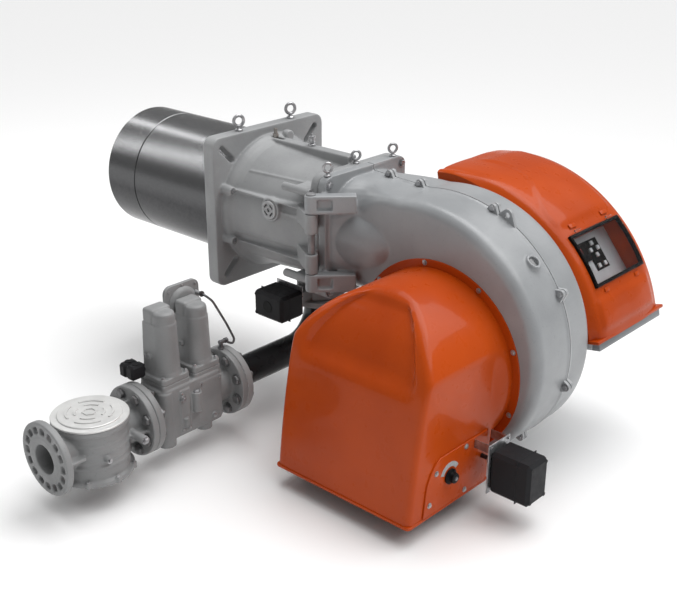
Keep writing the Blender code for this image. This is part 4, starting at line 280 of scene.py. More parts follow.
def block(low, high, edge=0.0, segments=2):
    """Block between two corners, its edges rounded."""
    bm = bmesh.new()
    bmesh.ops.create_cube(bm, size=1)
    middle = (Vector(low) + Vector(high)) / 2
    size = Vector(high) - Vector(low)
    moved(bm, Matrix.Translation(middle) @ Matrix.Diagonal((*size, 1)))
    if edge:
        round_off(bm, bm.edges, edge, segments)
    return bm


def plate(outline, low, high, axis="X"):
    """Flat plate: an outline pushed along an axis. The outline is in Y and Z, Z and X, or X and Y."""
    bm = bmesh.new()
    face = bm.faces.new([bm.verts.new((u, v, low)) for u, v in outline])
    pushed = bmesh.ops.extrude_face_region(bm, geom=[face])["geom"]
    bmesh.ops.translate(bm, vec=(0, 0, high - low), verts=[v for v in pushed if isinstance(v, bmesh.types.BMVert)])
    bmesh.ops.recalc_face_normals(bm, faces=bm.faces)
    return moved(bm, AXIS_TURN[axis])


def rounded(half_u, half_v, corner, steps=6, middle=(0, 0)):
    """Outline of a rectangle with round corners."""
    points = []
    for k, (su, sv) in enumerate(((1, 1), (-1, 1), (-1, -1), (1, -1))):
        for step in range(steps + 1):
            angle = math.radians(90 * k + 90 * step / steps)
            points.append((middle[0] + su * (half_u - corner) + corner * math.cos(angle),
                           middle[1] + sv * (half_v - corner) + corner * math.sin(angle)))
    return points


def slot_hole(middle, turn, length, width, steps=8):
    """Outline of a slot with round ends, its length along the angle given in degrees."""
    half = (length - width) / 2
    points = []
    for end, start in ((1, -90), (-1, 90)):
        for step in range(steps + 1):
            angle = math.radians(start + 180 * step / steps)
            points.append((end * half + width / 2 * math.cos(angle), width / 2 * math.sin(angle)))
    c, s = math.cos(math.radians(turn)), math.sin(math.radians(turn))
    return [(middle[0] + x * c - y * s, middle[1] + x * s + y * c) for x, y in points]


def seat(name, mesh, material, body, replaced=(), sharp=35):
    """Puts a finished mesh in the scene: its finish, the body it moves with, the solids it stands for."""
    piece = bpy.data.objects.new(name, mesh)
    bpy.context.collection.objects.link(piece)
    mesh.materials.clear()
    mesh.materials.append(material)
    mesh.shade_smooth()
    mesh.set_sharp_from_angle(angle=math.radians(sharp))
    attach(piece, body)
    if replaced:
        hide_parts(*replaced)
    return piece


def make(name, shape, material, body, replaced=(), sharp=35):
    """Puts a shape in the scene that needs no more work."""
    mesh = bpy.data.meshes.new(name)
    shape.to_mesh(mesh)
    shape.free()
    return seat(name, mesh, material, body, replaced, sharp)


def worked(name, shape, steps):
    """Applies modifiers, given as (type, settings), to a shape and returns the mesh."""
    held = bpy.data.meshes.new(name + "_raw")
    shape.to_mesh(held)
    shape.free()
    work = bpy.data.objects.new(name + "_work", held)
    bpy.context.collection.objects.link(work)
    helpers = []
    for kind, settings in steps:
        step = work.modifiers.new(kind, kind)
        for key, value in settings.items():
            if isinstance(value, bmesh.types.BMesh):
                other_mesh = bpy.data.meshes.new(name + "_tool")
                value.to_mesh(other_mesh)
                value.free()
                value = bpy.data.objects.new(name + "_tool", other_mesh)
                bpy.context.collection.objects.link(value)
                helpers.append(value)
            setattr(step, key, value)
    mesh = bpy.data.meshes.new_from_object(work.evaluated_get(bpy.context.evaluated_depsgraph_get()))
    mesh.name = name
    for other in helpers + [work]:
        data = other.data
        bpy.data.objects.remove(other)
        bpy.data.meshes.remove(data)
    return mesh


def add(*shapes, operation="UNION"):
    """Step that joins shapes to the piece."""
    return ("BOOLEAN", {"operation": operation, "solver": "EXACT", "use_self": len(shapes) > 1,
                        "object": gather(*shapes)})


def cut(*shapes):
    """Step that takes shapes out of the piece."""
    return add(*shapes, operation="DIFFERENCE")


def melt(voxel, rounds, keep):
    """Draws joined solids into one skin with the small fillets of a casting."""
    return [("REMESH", {"mode": "VOXEL", "voxel_size": voxel, "use_smooth_shade": True}),
            ("SMOOTH", {"factor": 0.5, "iterations": rounds}),
            ("DECIMATE", {"ratio": keep})]


def edge_break(width, segments, angle=40):
    """Step that rounds every edge sharper than the angle."""
    return ("BEVEL", {"width": width, "segments": segments, "limit_method": "ANGLE",
                      "angle_limit": math.radians(angle)})


def dress(material, *nodes):
    """Gives CAD pieces whose shape is right their finish."""
    for name in nodes:
        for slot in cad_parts[name].material_slots:
            slot.material = material


def softened(node, width, material, body, segments=2):
    """A CAD piece with its sharp edges broken, as the real one's are."""
    bm = bmesh.new()
    bm.from_mesh(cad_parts[node].data)
    bmesh.ops.remove_doubles(bm, verts=bm.verts, dist=1e-5)
    bmesh.ops.dissolve_limit(bm, angle_limit=math.radians(1), verts=bm.verts, edges=bm.edges)
    mesh = worked(node + "_skin", bm, [edge_break(width, segments, 30)])
    return seat(node + "_skin", mesh, material, body, (node,), 40)


def bolts(places, axis, across, height, washer=1.35):
    """Hexagon heads with chamfered corners, each on its washer. The places are the seats."""
    heads = []
    turn = AXIS_TURN[axis[-1]]
    way = -1 if axis[0] == "-" else 1
    corner, sunk = across * 0.577, -0.001
    for k, place in enumerate(places):
        head = turned([(0, sunk), (corner, sunk), (corner, height * 0.82), (across * 0.47, height), (0, height)],
                      steps=6)
        moved(head, Matrix.Rotation(k * 0.7, 4, "Z"))
        ring = turned([(0, sunk), (corner * washer, sunk), (corner * washer, across * 0.10), (0, across * 0.11)],
                      steps=20)
        both = gather(head, ring)
        moved(both, Matrix.Translation(place) @ turn @ Matrix.Diagonal((1, 1, way, 1)))
        if way < 0:
            bmesh.ops.reverse_faces(both, faces=both.faces)
        heads.append(both)
    return gather(*heads)


def fastened(name, heads, body="fan_unit", material=ZINC_STEEL):
    """A group of screws, bolts or nuts, zinc-plated unless another steel is named."""
    make(name, heads, material, body)


HINGE = (0.4185, -0.210, 0)
SIGHT_PLUG = (0.230, 0, 0.050)
TRAIN_X = 0.243
GAS_BRANCH = (TRAIN_X, 0, 0)
BARREL_START, BARREL_END, RIB_END, BOSS_LEVEL = 0.1885, 0.168, 0.386, 0.130
SCREW_BOSSES = [(y, z) for y in (-0.195, 0.195) for z in (-0.077, 0.077)]
flange = plate(rounded(0.230, 0.230, 0.030), 0.0, 0.045)
round_off(flange, rims(flange, "X"), 0.003, 2)
barrel = turned([(0, 0.0225), (0.206, 0.0225), (0.206, 0.055), (0.2015, 0.066), (0.194, 0.076), (BARREL_START, 0.094),
                 (BARREL_END, 0.3945), (0, 0.3945)], "X", steps=128)
bore = turned([(0, -0.01), (0.1963, -0.01), (0.1963, 0.020), (0.172, 0.020), (0.172, 0.224), (0.150, 0.418),
               (0, 0.418)], "X", steps=96)
head_bits = [plate(rounded(0.172, 0.180, 0.030), 0.381, 0.408)]
head_bits.append(block((0.035, -0.018, 0.152), (0.3815, 0.018, 0.200), 0.003))
for level in (-0.077, 0.077):
    head_bits.append(block((0.035, -0.183, level - 0.0028), (RIB_END, 0.183, level + 0.0028)))
    head_bits += [bar(0.013, 0.035, 0.087, "X", (0, y, level), 24) for y in (-0.195, 0.195)]
for side in (-1, 1):
    head_bits.append(bar(0.012, 0.279, RIB_END, "X", (0, -0.176, side * BOSS_LEVEL), 24))
    head_bits.append(block((0.309, -0.176, side * BOSS_LEVEL - 0.005), (RIB_END, -0.096, side * BOSS_LEVEL + 0.005)))
for low, high in ((0.0296, 0.0876), (-0.0876, -0.0296)):
    web = [(0.408, -0.195), (0.4023, -0.218), (0.321, -0.168), (0.321, -0.132), (0.408, -0.132)]
    head_bits.append(plate(web, low + 0.004, high - 0.004, "Z"))
    head_bits.append(bar(0.018, low, high, "Z", HINGE, 40))
head_bits.append(bar(0.052, -0.2107, -0.160, "Z", GAS_BRANCH, 48))
head_bits.append(bar(0.066, -0.2147, -0.1987, "Z", GAS_BRANCH, 64))
head_bits.append(bar(0.035, -0.187, -0.166, "Y", SIGHT_PLUG, 48))
for start, level in ((0.100, 0.130), (0.100, -0.130), (0.255, 0.046), (0.060, -0.046)):
    reach = math.sqrt(BARREL_START ** 2 - level ** 2) + 0.0035
    far_reach = math.sqrt(BARREL_END ** 2 - level ** 2) + 0.0035
    low_y = -reach - (far_reach - reach) * (start - 0.094) / 0.3
    rib = [(start, low_y), (RIB_END, -far_reach), (RIB_END, -0.095), (start, -0.095)]
    head_bits.append(plate(rib, level - 0.0025, level + 0.0025, "Z"))
head_bits += [bar(0.010, 0.279, RIB_END, "X", (0, 0.150, -0.150), 24),
              bar(0.017, 0.060, 0.083, "X", (0, 0.050, 0.196), 24)]
holes = [plate(slot_hole((sy * 0.175, sz * 0.175), 45 * sy * sz, 0.074, 0.020), -0.01, 0.055)
         for sy in (-1, 1) for sz in (-1, 1)]
holes.append(bar(0.0104, -0.114, 0.114, "Z", HINGE, 24))
holes.append(block((0.062, -0.007, 0.142), (0.108, 0.007, 0.220)))
holes.append(bar(0.0273, -0.197, -0.179, "Y", SIGHT_PLUG, 48))
holes += [bar(0.006, 0.269, 0.309, "X", (0, -0.176, side * BOSS_LEVEL), 20) for side in (-1, 1)]
holes += [bar(0.0055, 0.070, 0.092, "X", (0, y, z), 16) for y, z in SCREW_BOSSES]
holes.append(bar(0.040, -0.2247, -0.092, "Z", GAS_BRANCH, 48))
head_mesh = worked("head", flange, [add(barrel, *head_bits), cut(bore, *holes)] + melt(0.0026, 5, 0.32))
seat("burner_head", head_mesh, HEAD_PAINT, "head_and_train", ("head_casting",), 60)

plug_face = Matrix.Translation((0.230, -0.1838, 0.050)) @ Matrix.Rotation(math.radians(90), 4, "X")
recesses = gather(*[moved(plate(slot_hole((0.0155, 0), 90, 0.017, 0.0055), 0, 0.02, "Z"),
                          plug_face @ Matrix.Rotation(math.radians(45 + 90 * k), 4, "Z")) for k in range(4)])
plug_mesh = worked("plug", bar(0.0270, -0.1911, -0.1793, "Y", SIGHT_PLUG, 48),
                   [cut(recesses, bar(0.006, -0.20, -0.186, "Y", SIGHT_PLUG, 16))])
seat("sight_plug", plug_mesh, HEAD_PAINT, "head_and_train", ("inspection_plug",))

tap = turned([(0, 0.2003), (0.011, 0.2003), (0.011, 0.2058), (0.0085, 0.2075), (0.0070, 0.2085), (0.0070, 0.2220),
              (0.0098, 0.2226), (0.0104, 0.2240), (0.0104, 0.2280), (0.0098, 0.2294), (0.0042, 0.2310),
              (0.0042, 0.2350), (0.0034, 0.2362), (0, 0.2362)], "Z", (0.222, 0, 0), 24)
make("pressure_tap_turned", gather(tap, bar(0.003, -0.012, 0.012, "Y", (0.222, 0, 0.2263), 12),
                                   turned([(0, 0), (0.0095, 0), (0.0095, 0.006), (0, 0.006)], "Z",
                                          (0.222, 0, 0.2090), 6)),
     ZINC_STEEL, "head_and_train", ("pressure_tap",))
pin_top = turned([(0, 0.1403), (0.0135, 0.1403), (0.0135, 0.1430), (0.0120, 0.1445), (0, 0.1450)], "Z",
                 HINGE, 32)
PIN_STEEL = patterned("oiled_pin_steel", (0.24, 0.24, 0.245), 0.25, 0.5,
                      tones=(60, 5, (0.19, 0.19, 0.195), (0.28, 0.28, 0.285)), bumps=(300, 3, 0.00008))
make("hinge_pin_turned", gather(pin_top, bar(0.0100, -0.144, 0.1412, "Z", HINGE, 32)), PIN_STEEL,
     "head_and_train", ("hinge_pin",))
fastened("head_screws", bolts([(0.0865, y, z) for y, z in SCREW_BOSSES], "X", 0.009, 0.004), "head_and_train")


# Lifting eyes: forged steel rings on turned collars, screwed into the top of the boiler flange, the
# neck flange and the fan housing's flange.
def lifting_eye(base, size, turn):
    """Eye of a given height on its seat, turned about the upright."""
    ring = bmesh.new()
    wire = bmesh.ops.create_circle(ring, segments=16, radius=size * 0.108,
                                   matrix=Matrix.Translation((size * 0.345, 0, 0)) @ AXIS_TURN["Y"])["verts"]
    bmesh.ops.spin(ring, geom=wire + ring.edges[:], cent=(0, 0, 0), axis=(0, 0, 1), angle=math.tau, steps=40,
                   use_merge=True)
    bmesh.ops.recalc_face_normals(ring, faces=ring.faces)
    moved(ring, Matrix.Translation((base[0], base[1], base[2] + size * 0.66))
          @ Matrix.Rotation(math.radians(turn), 4, "Z") @ Matrix.Rotation(math.radians(90), 4, "X"))
    collar = turned([(0, 0.0003), (size * 0.25, 0.0003), (size * 0.26, size * 0.03), (size * 0.26, size * 0.09),
                     (size * 0.23, size * 0.13), (size * 0.15, size * 0.17), (size * 0.12, size * 0.24),
                     (size * 0.14, size * 0.33), (0, size * 0.34)], "Z", base, 32)
    return gather(ring, collar)


for node, base, size, turn, body in (
        ("flange_eye_bolt_near", (0.0225, -0.105, 0.230), 0.045, 70, "head_and_train"),
        ("flange_eye_bolt_far", (0.0225, 0.111, 0.230), 0.045, 70, "head_and_train"),
        ("neck_eye_bolt", (0.3945, 0.0, 0.180), 0.036, 60, "head_and_train"),
        ("fan_eye_bolt_near", (0.4218, -0.146, 0.180), 0.036, 60, "fan_unit"),
        ("fan_eye_bolt_far", (0.4218, 0.129, 0.180), 0.036, 60, "fan_unit")):
    make(node + "_forged", lifting_eye(base, size, turn), ZINC_STEEL, body, (node,))


# Blast tube and end ring: dark galvanised sheet rolled to a tube, with a dark rope in the joint.
# Spangle shows as bright and dull flakes, and the sheet has faint rolling lines round it. A pale grey
# laid over the upper part of each piece, rising with height, is a painted highlight, and the lower part is painted
# shade.
GALVANISED_WITH_PAINTED_HIGHLIGHT = finish("galvanised_sheet_spangled_painted_top_highlight", (0.16, 0.16, 0.165), 1.0, 0.27)
tree = GALVANISED_WITH_PAINTED_HIGHLIGHT.node_tree
shader = tree.nodes["Principled BSDF"]
where = tree.nodes.new("ShaderNodeTexCoord")
flakes = tree.nodes.new("ShaderNodeTexVoronoi")
flakes.inputs["Scale"].default_value = 150
flakes.inputs["Randomness"].default_value = 1.0
tree.links.new(where.outputs["Object"], flakes.inputs["Vector"])
flake_tone = tree.nodes.new("ShaderNodeSeparateColor")
tree.links.new(flakes.outputs["Color"], flake_tone.inputs["Color"])
heights = tree.nodes.new("ShaderNodeSeparateXYZ")
tree.links.new(where.outputs["Object"], heights.inputs["Vector"])
spangled = spread(tree, heights.outputs["Z"], 0.06, 1.0, 0.095, 0.145)
# painted shade: the flake tones are kept darker than the metal is, so the lower part of the tube stays dark
base = shades(tree, flake_tone.outputs["Red"], (0.046, 0.046, 0.048), (0.058, 0.058, 0.060), 0.1, 0.95)
# painted highlight: the upper part is blended towards pale grey with height, as if lit from above
base = blend_colours(tree, spread(tree, heights.outputs["Z"], 0.0, 0.85, -0.02, 0.12), base, (0.34, 0.342, 0.348))
tree.links.new(base, shader.inputs["Base Color"])
tree.links.new(spread(tree, flake_tone.outputs["Green"], 0.245, 0.27, 0.0, 1.0), shader.inputs["Roughness"])
ripples = grain(tree, noise(tree, 22, 2, (6, 1, 1)), 0.00012)
flake_height = tree.nodes.new("ShaderNodeMath")
flake_height.operation = "MULTIPLY"
tree.links.new(flake_tone.outputs["Blue"], flake_height.inputs[0])
tree.links.new(spangled, flake_height.inputs[1])
tree.links.new(grain(tree, flake_height.outputs[0], 0.00026, ripples), shader.inputs["Normal"])

tube_wall = turned([(0.1960, 0.0197), (0.1960, -0.3822), (0.1950, -0.3832), (0.1932, -0.3836), (0.1932, -0.3850),
                    (0.1920, -0.3850), (0.1920, 0.0197)], "X", steps=160)
make("blast_tube_rolled", tube_wall, GALVANISED_WITH_PAINTED_HIGHLIGHT, "head_and_train", ("blast_tube",), 25)
ring_wall = turned([(0.1932, -0.3853), (0.1932, -0.3869), (0.1950, -0.3873), (0.1960, -0.3883), (0.1960, -0.5215),
                    (0.1948, -0.5230), (0.1790, -0.5230), (0.1782, -0.5215), (0.1786, -0.5190), (0.1905, -0.5176),
                    (0.1920, -0.5160), (0.1920, -0.3853)], "X", steps=160)
make("end_ring_turned", ring_wall, GALVANISED_WITH_PAINTED_HIGHLIGHT, "head_and_train", ("blast_tube_end_ring",), 25)
JOINT_ROPE = patterned("dark_joint_rope", (0.012, 0.012, 0.012), 0.0, 0.9,
                       tones=(300, 3, (0.006, 0.006, 0.006), (0.020, 0.020, 0.020)), bumps=(400, 2, 0.0002))
joint_rope = turned([(0.1934, -0.3838), (0.1950, -0.3838), (0.1950, -0.3867), (0.1934, -0.3867)], "X",
                    steps=160)
make("tube_joint_rope", joint_rope, JOINT_ROPE, "head_and_train")


# Combustion head inside the tube: a steel gas lance, the slotted flame disc on its adjusting rod and
# two ignition electrodes in white ceramic. Steel is heat-tinted brown and blue towards the flame.
HOT_STEEL = patterned("heat_tinted_steel", (0.40, 0.38, 0.36), 0.9, 0.36,
                      tones=(14, 5, (0.20, 0.17, 0.15), (0.46, 0.44, 0.42)), gloss=(60, 4, 0.28, 0.50),
                      bumps=(260, 3, 0.00015, (1, 6, 6)))
dress(HOT_STEEL, "gas_lance", "flame_disc", "head_adjuster_rod", "filter_cartridge")
CERAMIC = patterned("glazed_ceramic", (0.78, 0.76, 0.70), 0.0, 0.25, coat=0.5,
                    tones=(30, 5, (0.62, 0.58, 0.50), (0.82, 0.80, 0.75)), bumps=(300, 2, 0.00005))
dress(CERAMIC, "ignition_electrodes")


# Fan housing: a light grey painted aluminium spiral case in two halves, bolted through lugs on its
# rim, with the neck, its flange, and two hinge arms on the near side. A sight glass is set in the rim.
FAN_X, FAN_Z = 0.790, -0.255
FAN_AXIS = (FAN_X, 0, FAN_Z)
MOUTH_X = 0.600
SPIRAL_START, SPIRAL_GROWTH = 0.275, 0.158
SEAM_NEAR, SEAM_FAR, SEAM_RIDGE = 0.0284, 0.0316, (0.0250, 0.0350)
HOUSING_PAINT = cast_paint("housing_grey_paint", (0.275, 0.285, 0.295), (0.330, 0.340, 0.350), (0.46, 0.47, 0.48),
                           0.36, 0.00010, 0.2)


def spiral(offset, steps=96):
    """Outline of the spiral case in Z and X, moved inwards by the offset."""
    start = SPIRAL_START - offset
    tongue_z = -0.165 - offset
    tongue = 180 - math.degrees(math.asin((tongue_z - FAN_Z) / start))
    points = [(FAN_Z + start * math.sin(math.radians(a)), FAN_X + start * math.cos(math.radians(a)))
              for a in (tongue, (tongue + 180) / 2)]
    for step in range(steps + 1):
        part = step / steps
        angle = math.radians(-180 + 290 * part)
        radius = start + SPIRAL_GROWTH * part ** 2.6
        points.append((FAN_Z + radius * math.sin(angle), FAN_X + radius * math.cos(angle)))
    points += [(0.152 - offset, MOUTH_X), (tongue_z, MOUTH_X)]
    return points


def spiral_case(offset, edge, segments):
    """Body of the case with round rims, left square where the neck runs in."""
    bm = plate(spiral(offset), -0.115 + offset, 0.140 - offset, "Y")
    flanks = [e for e in rims(bm, "Y") if abs(e.verts[0].co.x - MOUTH_X) + abs(e.verts[1].co.x - MOUTH_X) > 1e-5]
    round_off(bm, flanks, edge, segments)
    return bm


def ease(value, start, end):
    """Soft step from nothing to one between two values."""
    part = min(max((value - start) / (end - start), 0.0), 1.0)
    return part * part * (3 - 2 * part)


def join_rings(bm, rings):
    """Rings of points, each joined to the next by a band of faces. Returns their vertices."""
    loops = [[bm.verts.new(point) for point in ring] for ring in rings]
    for one, two in zip(loops, loops[1:]):
        for k in range(len(one)):
            k2 = (k + 1) % len(one)
            bm.faces.new((one[k], two[k], two[k2], one[k2]))
    return loops


def closed_skin(rings):
    """Closed form through rings of points, its two ends capped."""
    bm = bmesh.new()
    loops = join_rings(bm, rings)
    bm.faces.new(loops[0])
    bm.faces.new(loops[-1])
    bmesh.ops.recalc_face_normals(bm, faces=bm.faces)
    return bm


def neck_duct(offset, start, steps=16):
    """Duct from the round joint at the head to the flat-sided mouth of the spiral."""
    rings = []
    for step in range(steps + 3):
        part = min(max((step - 1) / steps, 0.0), 1.0)
        x = start if step == 0 else (MOUTH_X + 0.020 if step == steps + 2 else 0.435 + 0.165 * part)
        change, front = ease(part, 0, 1), ease(part, 0, 0.5)
        low_y, high_y = -0.158 + front * 0.043 + offset, 0.158 - change * 0.018 - offset
        low_z, high_z = -0.160 - change * 0.005 + offset, 0.160 - change * 0.008 - offset
        outline = rounded((high_y - low_y) / 2, (high_z - low_z) / 2, 0.120 - change * 0.090, 8,
                          ((high_y + low_y) / 2, (high_z + low_z) / 2))
        rings.append([(x, y, z) for y, z in outline])
    return closed_skin(rings)


def rim_place(angle):
    """Place on the rim of the spiral, in X and Z, at an angle in degrees."""
    part = (angle + 180) / 290
    radius = SPIRAL_START + SPIRAL_GROWTH * part ** 2.6
    return (FAN_X + radius * math.cos(math.radians(angle)), FAN_Z + radius * math.sin(math.radians(angle)))


def ear(x, z, outwards, width, height, radius, low, high):
    """Lug on the seam: a round eye on a foot that spreads along the rim. Angle outwards in degrees."""
    out = Vector((math.cos(math.radians(outwards)), math.sin(math.radians(outwards))))
    side = Vector((-out.y, out.x))
    foot = Vector((x, z)) - out * 0.006
    eye = Vector((x, z)) + out * height
    outline = [foot - side * width]
    outline += [eye + (out * math.cos(math.radians(a)) + side * math.sin(math.radians(a))) * radius
                for a in range(-65, 66, 10)]
    outline.append(foot + side * width)
    return plate([(point.y, point.x) for point in outline], low, high, "Y")


LUG_FEET = [(*rim_place(a), a) for a in (80.8, 37.3, -6.0, -49.6, -98.0, -146.0)]
LUG_FEET += [(0.609, 0.151, 90), (0.500, 0.156, 90), (0.470, -0.162, -90)]
LUGS = [(x + 0.010 * math.cos(math.radians(a)), z + 0.010 * math.sin(math.radians(a))) for x, z, a in LUG_FEET]
housing_bits = [neck_duct(0.0005, 0.425), plate(rounded(0.172, 0.180, 0.030), 0.4086, 0.435),
                plate(spiral(-0.0024), *SEAM_RIDGE, "Y"),
                plate([(0.1625, 0.425), (0.1550, 0.612), (0.1300, 0.612), (0.1300, 0.425)], *SEAM_RIDGE, "Y"),
                plate([(-0.1625, 0.425), (-0.1670, 0.535), (-0.1400, 0.535), (-0.1400, 0.425)], *SEAM_RIDGE, "Y")]
bulge = bmesh.new()
bmesh.ops.create_icosphere(bulge, subdivisions=4, radius=1)
housing_bits.append(moved(bulge, Matrix.Translation((0.462, -0.086, 0)) @ Matrix.Diagonal((0.175, 0.066, 0.088, 1))))


def arm_outline(start, end, near, far):
    """Rectangle laid along a hinge arm, which runs at 45 degrees from the pin."""
    along = Vector((math.sqrt(0.5), math.sqrt(0.5)))
    across = Vector((math.sqrt(0.5), -math.sqrt(0.5)))
    return [tuple(Vector(HINGE[:2]) + along * a + across * c)
            for a, c in ((start, far), (end, far), (end, near), (start, near))]


ARM_LEVEL, ARM_HALF = 0.114, 0.026
pockets = []
for side in (-1, 1):
    low, high = side * ARM_LEVEL - ARM_HALF, side * ARM_LEVEL + ARM_HALF
    housing_bits += [plate(arm_outline(0, 0.12374, -0.018, 0.018), low, high, "Z"),
                     bar(0.018, low, high, "Z", HINGE, 40)]
    pockets.append(plate(arm_outline(0.016, 0.058, 0.006, 0.038), low + 0.011, high - 0.011, "Z"))
sight_x, sight_z = rim_place(53.6)
sight_place = Matrix.Translation((sight_x, -0.012, sight_z)) @ Matrix.Rotation(math.radians(90 - 53.6), 4, "Y")
lift_x, lift_z = rim_place(74.6)
lift_lug = worked("lift_lug", ear(lift_x, lift_z, 74.6, 0.034, 0.014, 0.0165, 0.0245, 0.0355),
                  [cut(bar(0.0080, 0.010, 0.050, "Y", (lift_x + 0.0037, 0, lift_z + 0.0135), 32)),
                   edge_break(0.0012, 2)])
lugs = bmesh.new()
lugs.from_mesh(lift_lug)
bpy.data.meshes.remove(lift_lug)
for x, z, outwards in LUG_FEET:
    for low, high in ((0.0185, SEAM_NEAR), (SEAM_FAR, 0.0415)):
        lug = ear(x, z, outwards, 0.021, 0.010, 0.0110, low, high)
        round_off(lug, rims(lug, "Y"), 0.0010, 2)
        lugs = gather(lugs, lug)
make("seam_lugs", lugs, HOUSING_PAINT, "fan_unit")
housing_bits.append(moved(bar(0.0215, -0.012, 0.0105, sides=48), sight_place))
inner_cuts = [spiral_case(0.006, 0.024, 4), neck_duct(0.0065, 0.3986),
              bar(0.242, -0.108, 0.133, "Y", FAN_AXIS, 64),
              bar(0.205, -0.125, -0.095, "Y", FAN_AXIS, 64),
              bar(0.120, 0.120, 0.150, "Y", FAN_AXIS, 48),
              bar(0.0104, -0.166, 0.166, "Z", HINGE, 24),
              moved(bar(0.0140, -0.020, 0.020), sight_place)]
housing_mesh = worked("housing", spiral_case(0.0, 0.030, 6),
                      [add(*housing_bits), cut(*pockets, *inner_cuts)] + melt(0.0029, 4, 0.30))
for name, keep_front, replaced in (("housing_front_half", True, "volute_front_shell"),
                                   ("housing_rear_half", False, "volute_rear_shell")):
    bm = bmesh.new()
    bm.from_mesh(housing_mesh)
    seam_y = SEAM_NEAR if keep_front else SEAM_FAR
    bmesh.ops.bisect_plane(bm, geom=bm.verts[:] + bm.edges[:] + bm.faces[:], plane_co=(0, seam_y, 0),
                           plane_no=(0, 1, 0), clear_outer=keep_front, clear_inner=not keep_front)
    bmesh.ops.triangle_fill(bm, edges=[e for e in bm.edges if e.is_boundary],
                            normal=(0, 1 if keep_front else -1, 0))
    make(name, bm, HOUSING_PAINT, "fan_unit", (replaced,), 60)
bpy.data.meshes.remove(housing_mesh)
fastened("seam_bolts", bolts([(x, 0.0187, z) for x, z in LUGS], "-Y", 0.013, 0.006))
fastened("seam_nuts", bolts([(x, 0.0413, z) for x, z in LUGS], "Y", 0.013, 0.006))
fastened("neck_bolts", bolts([(0.4348, y, z) for y in (-0.154, 0.154) for z in (-0.158, 0.158)], "X", 0.017, 0.008))
GLASS = patterned("sight_glass_dark", (0.06, 0.065, 0.07), 0.0, 0.08, coat=0.8,
                  tones=(90, 3, (0.03, 0.032, 0.035), (0.09, 0.095, 0.10)))
pane = turned([(0, -0.008), (0.0134, -0.008), (0.0134, 0.0045), (0.0118, 0.0060), (0, 0.0066)], steps=40)
make("sight_pane", moved(pane, sight_place), GLASS, "fan_unit", ("sight_glass",))


# Impeller, inlet cone and dampers: galvanised and plain pressed sheet, seen through the hood's mouth
# and through the joint when the fan unit is swung open.
dress(GALVANISED_WITH_PAINTED_HIGHLIGHT, "inlet_cone", "air_damper_front", "air_damper_rear")
FAN_SHEET = patterned("pressed_fan_sheet", (0.50, 0.51, 0.52), 0.7, 0.40,
                      tones=(25, 5, (0.36, 0.37, 0.38), (0.56, 0.57, 0.58)), bumps=(200, 3, 0.0001))
dress(FAN_SHEET, "impeller", "motor_rotor")


# Air hood: a glossy orange moulded cowl with an arched outline. Its front leans back and has a broad
# scoop under the crown, its collar is screwed to the fan housing, and its underside is the air inlet.
def glossy_paint(name, dark, light, rough, coat, ripple):
    """High-gloss finish over a moulding: faint colour drift, fine ripple and a clear top coat."""
    made = finish(name, light, 0.0, rough, coat, 0.06)
    tree = made.node_tree
    shader = tree.nodes["Principled BSDF"]
    shader.inputs["Specular IOR Level"].default_value = 0.10
    tree.links.new(shades(tree, noise(tree, 4, 4), dark, light, 0.3, 0.65), shader.inputs["Base Color"])
    tree.links.new(spread(tree, noise(tree, 35, 5), rough - 0.05, rough + 0.07), shader.inputs["Roughness"])
    tree.links.new(grain(tree, noise(tree, 26, 1), ripple * 4), shader.inputs["Normal"])
    return made


ORANGE = glossy_paint("glossy_orange", (0.41, 0.050, 0.004), (0.50, 0.066, 0.005), 0.30, 0.20, 0.00002)
HOOD_PROFILE = ((-0.540, -0.502), (-0.520, -0.500), (-0.400, -0.485), (-0.280, -0.465), (-0.170, -0.440),
                (-0.100, -0.405), (-0.050, -0.360), (-0.012, -0.310), (-0.005, -0.300), (0.010, -0.275))


def through(points, value):
    """Smooth curve through points, each (value, result)."""
    for k in range(1, len(points) - 2):
        if value <= points[k + 1][0] or k == len(points) - 3:
            (x0, y0), (x1, y1), (x2, y2), (x3, y3) = points[k - 1:k + 3]
            t = (value - x1) / (x2 - x1)
            m1 = (y2 - y0) / (x2 - x0) * (x2 - x1)
            m2 = (y3 - y1) / (x3 - x1) * (x2 - x1)
            return ((2 * t ** 3 - 3 * t ** 2 + 1) * y1 + (t ** 3 - 2 * t ** 2 + t) * m1
                    + (3 * t ** 2 - 2 * t ** 3) * y2 + (t ** 3 - t ** 2) * m2)


SCOOP_HALF = ((-0.205, 0.186), (-0.190, 0.187), (-0.165, 0.187), (-0.137, 0.178), (-0.110, 0.165), (-0.085, 0.149),
              (-0.058, 0.125), (-0.033, 0.093), (-0.016, 0.058), (-0.008, 0.030), (0.0, 0.0))


def scoop_depth(x, z):
    """Depth of the scoop at a place on the front, x from the hood's middle."""
    if z < -0.205 or z > -0.009:
        return 0.0
    half = through(SCOOP_HALF, z)
    side = 1 - ease(abs(x), half - 0.022, half + 0.002)
    return 0.019 * side * ease(z, -0.205, -0.160) * (1 - ease(z, -0.046, -0.010))


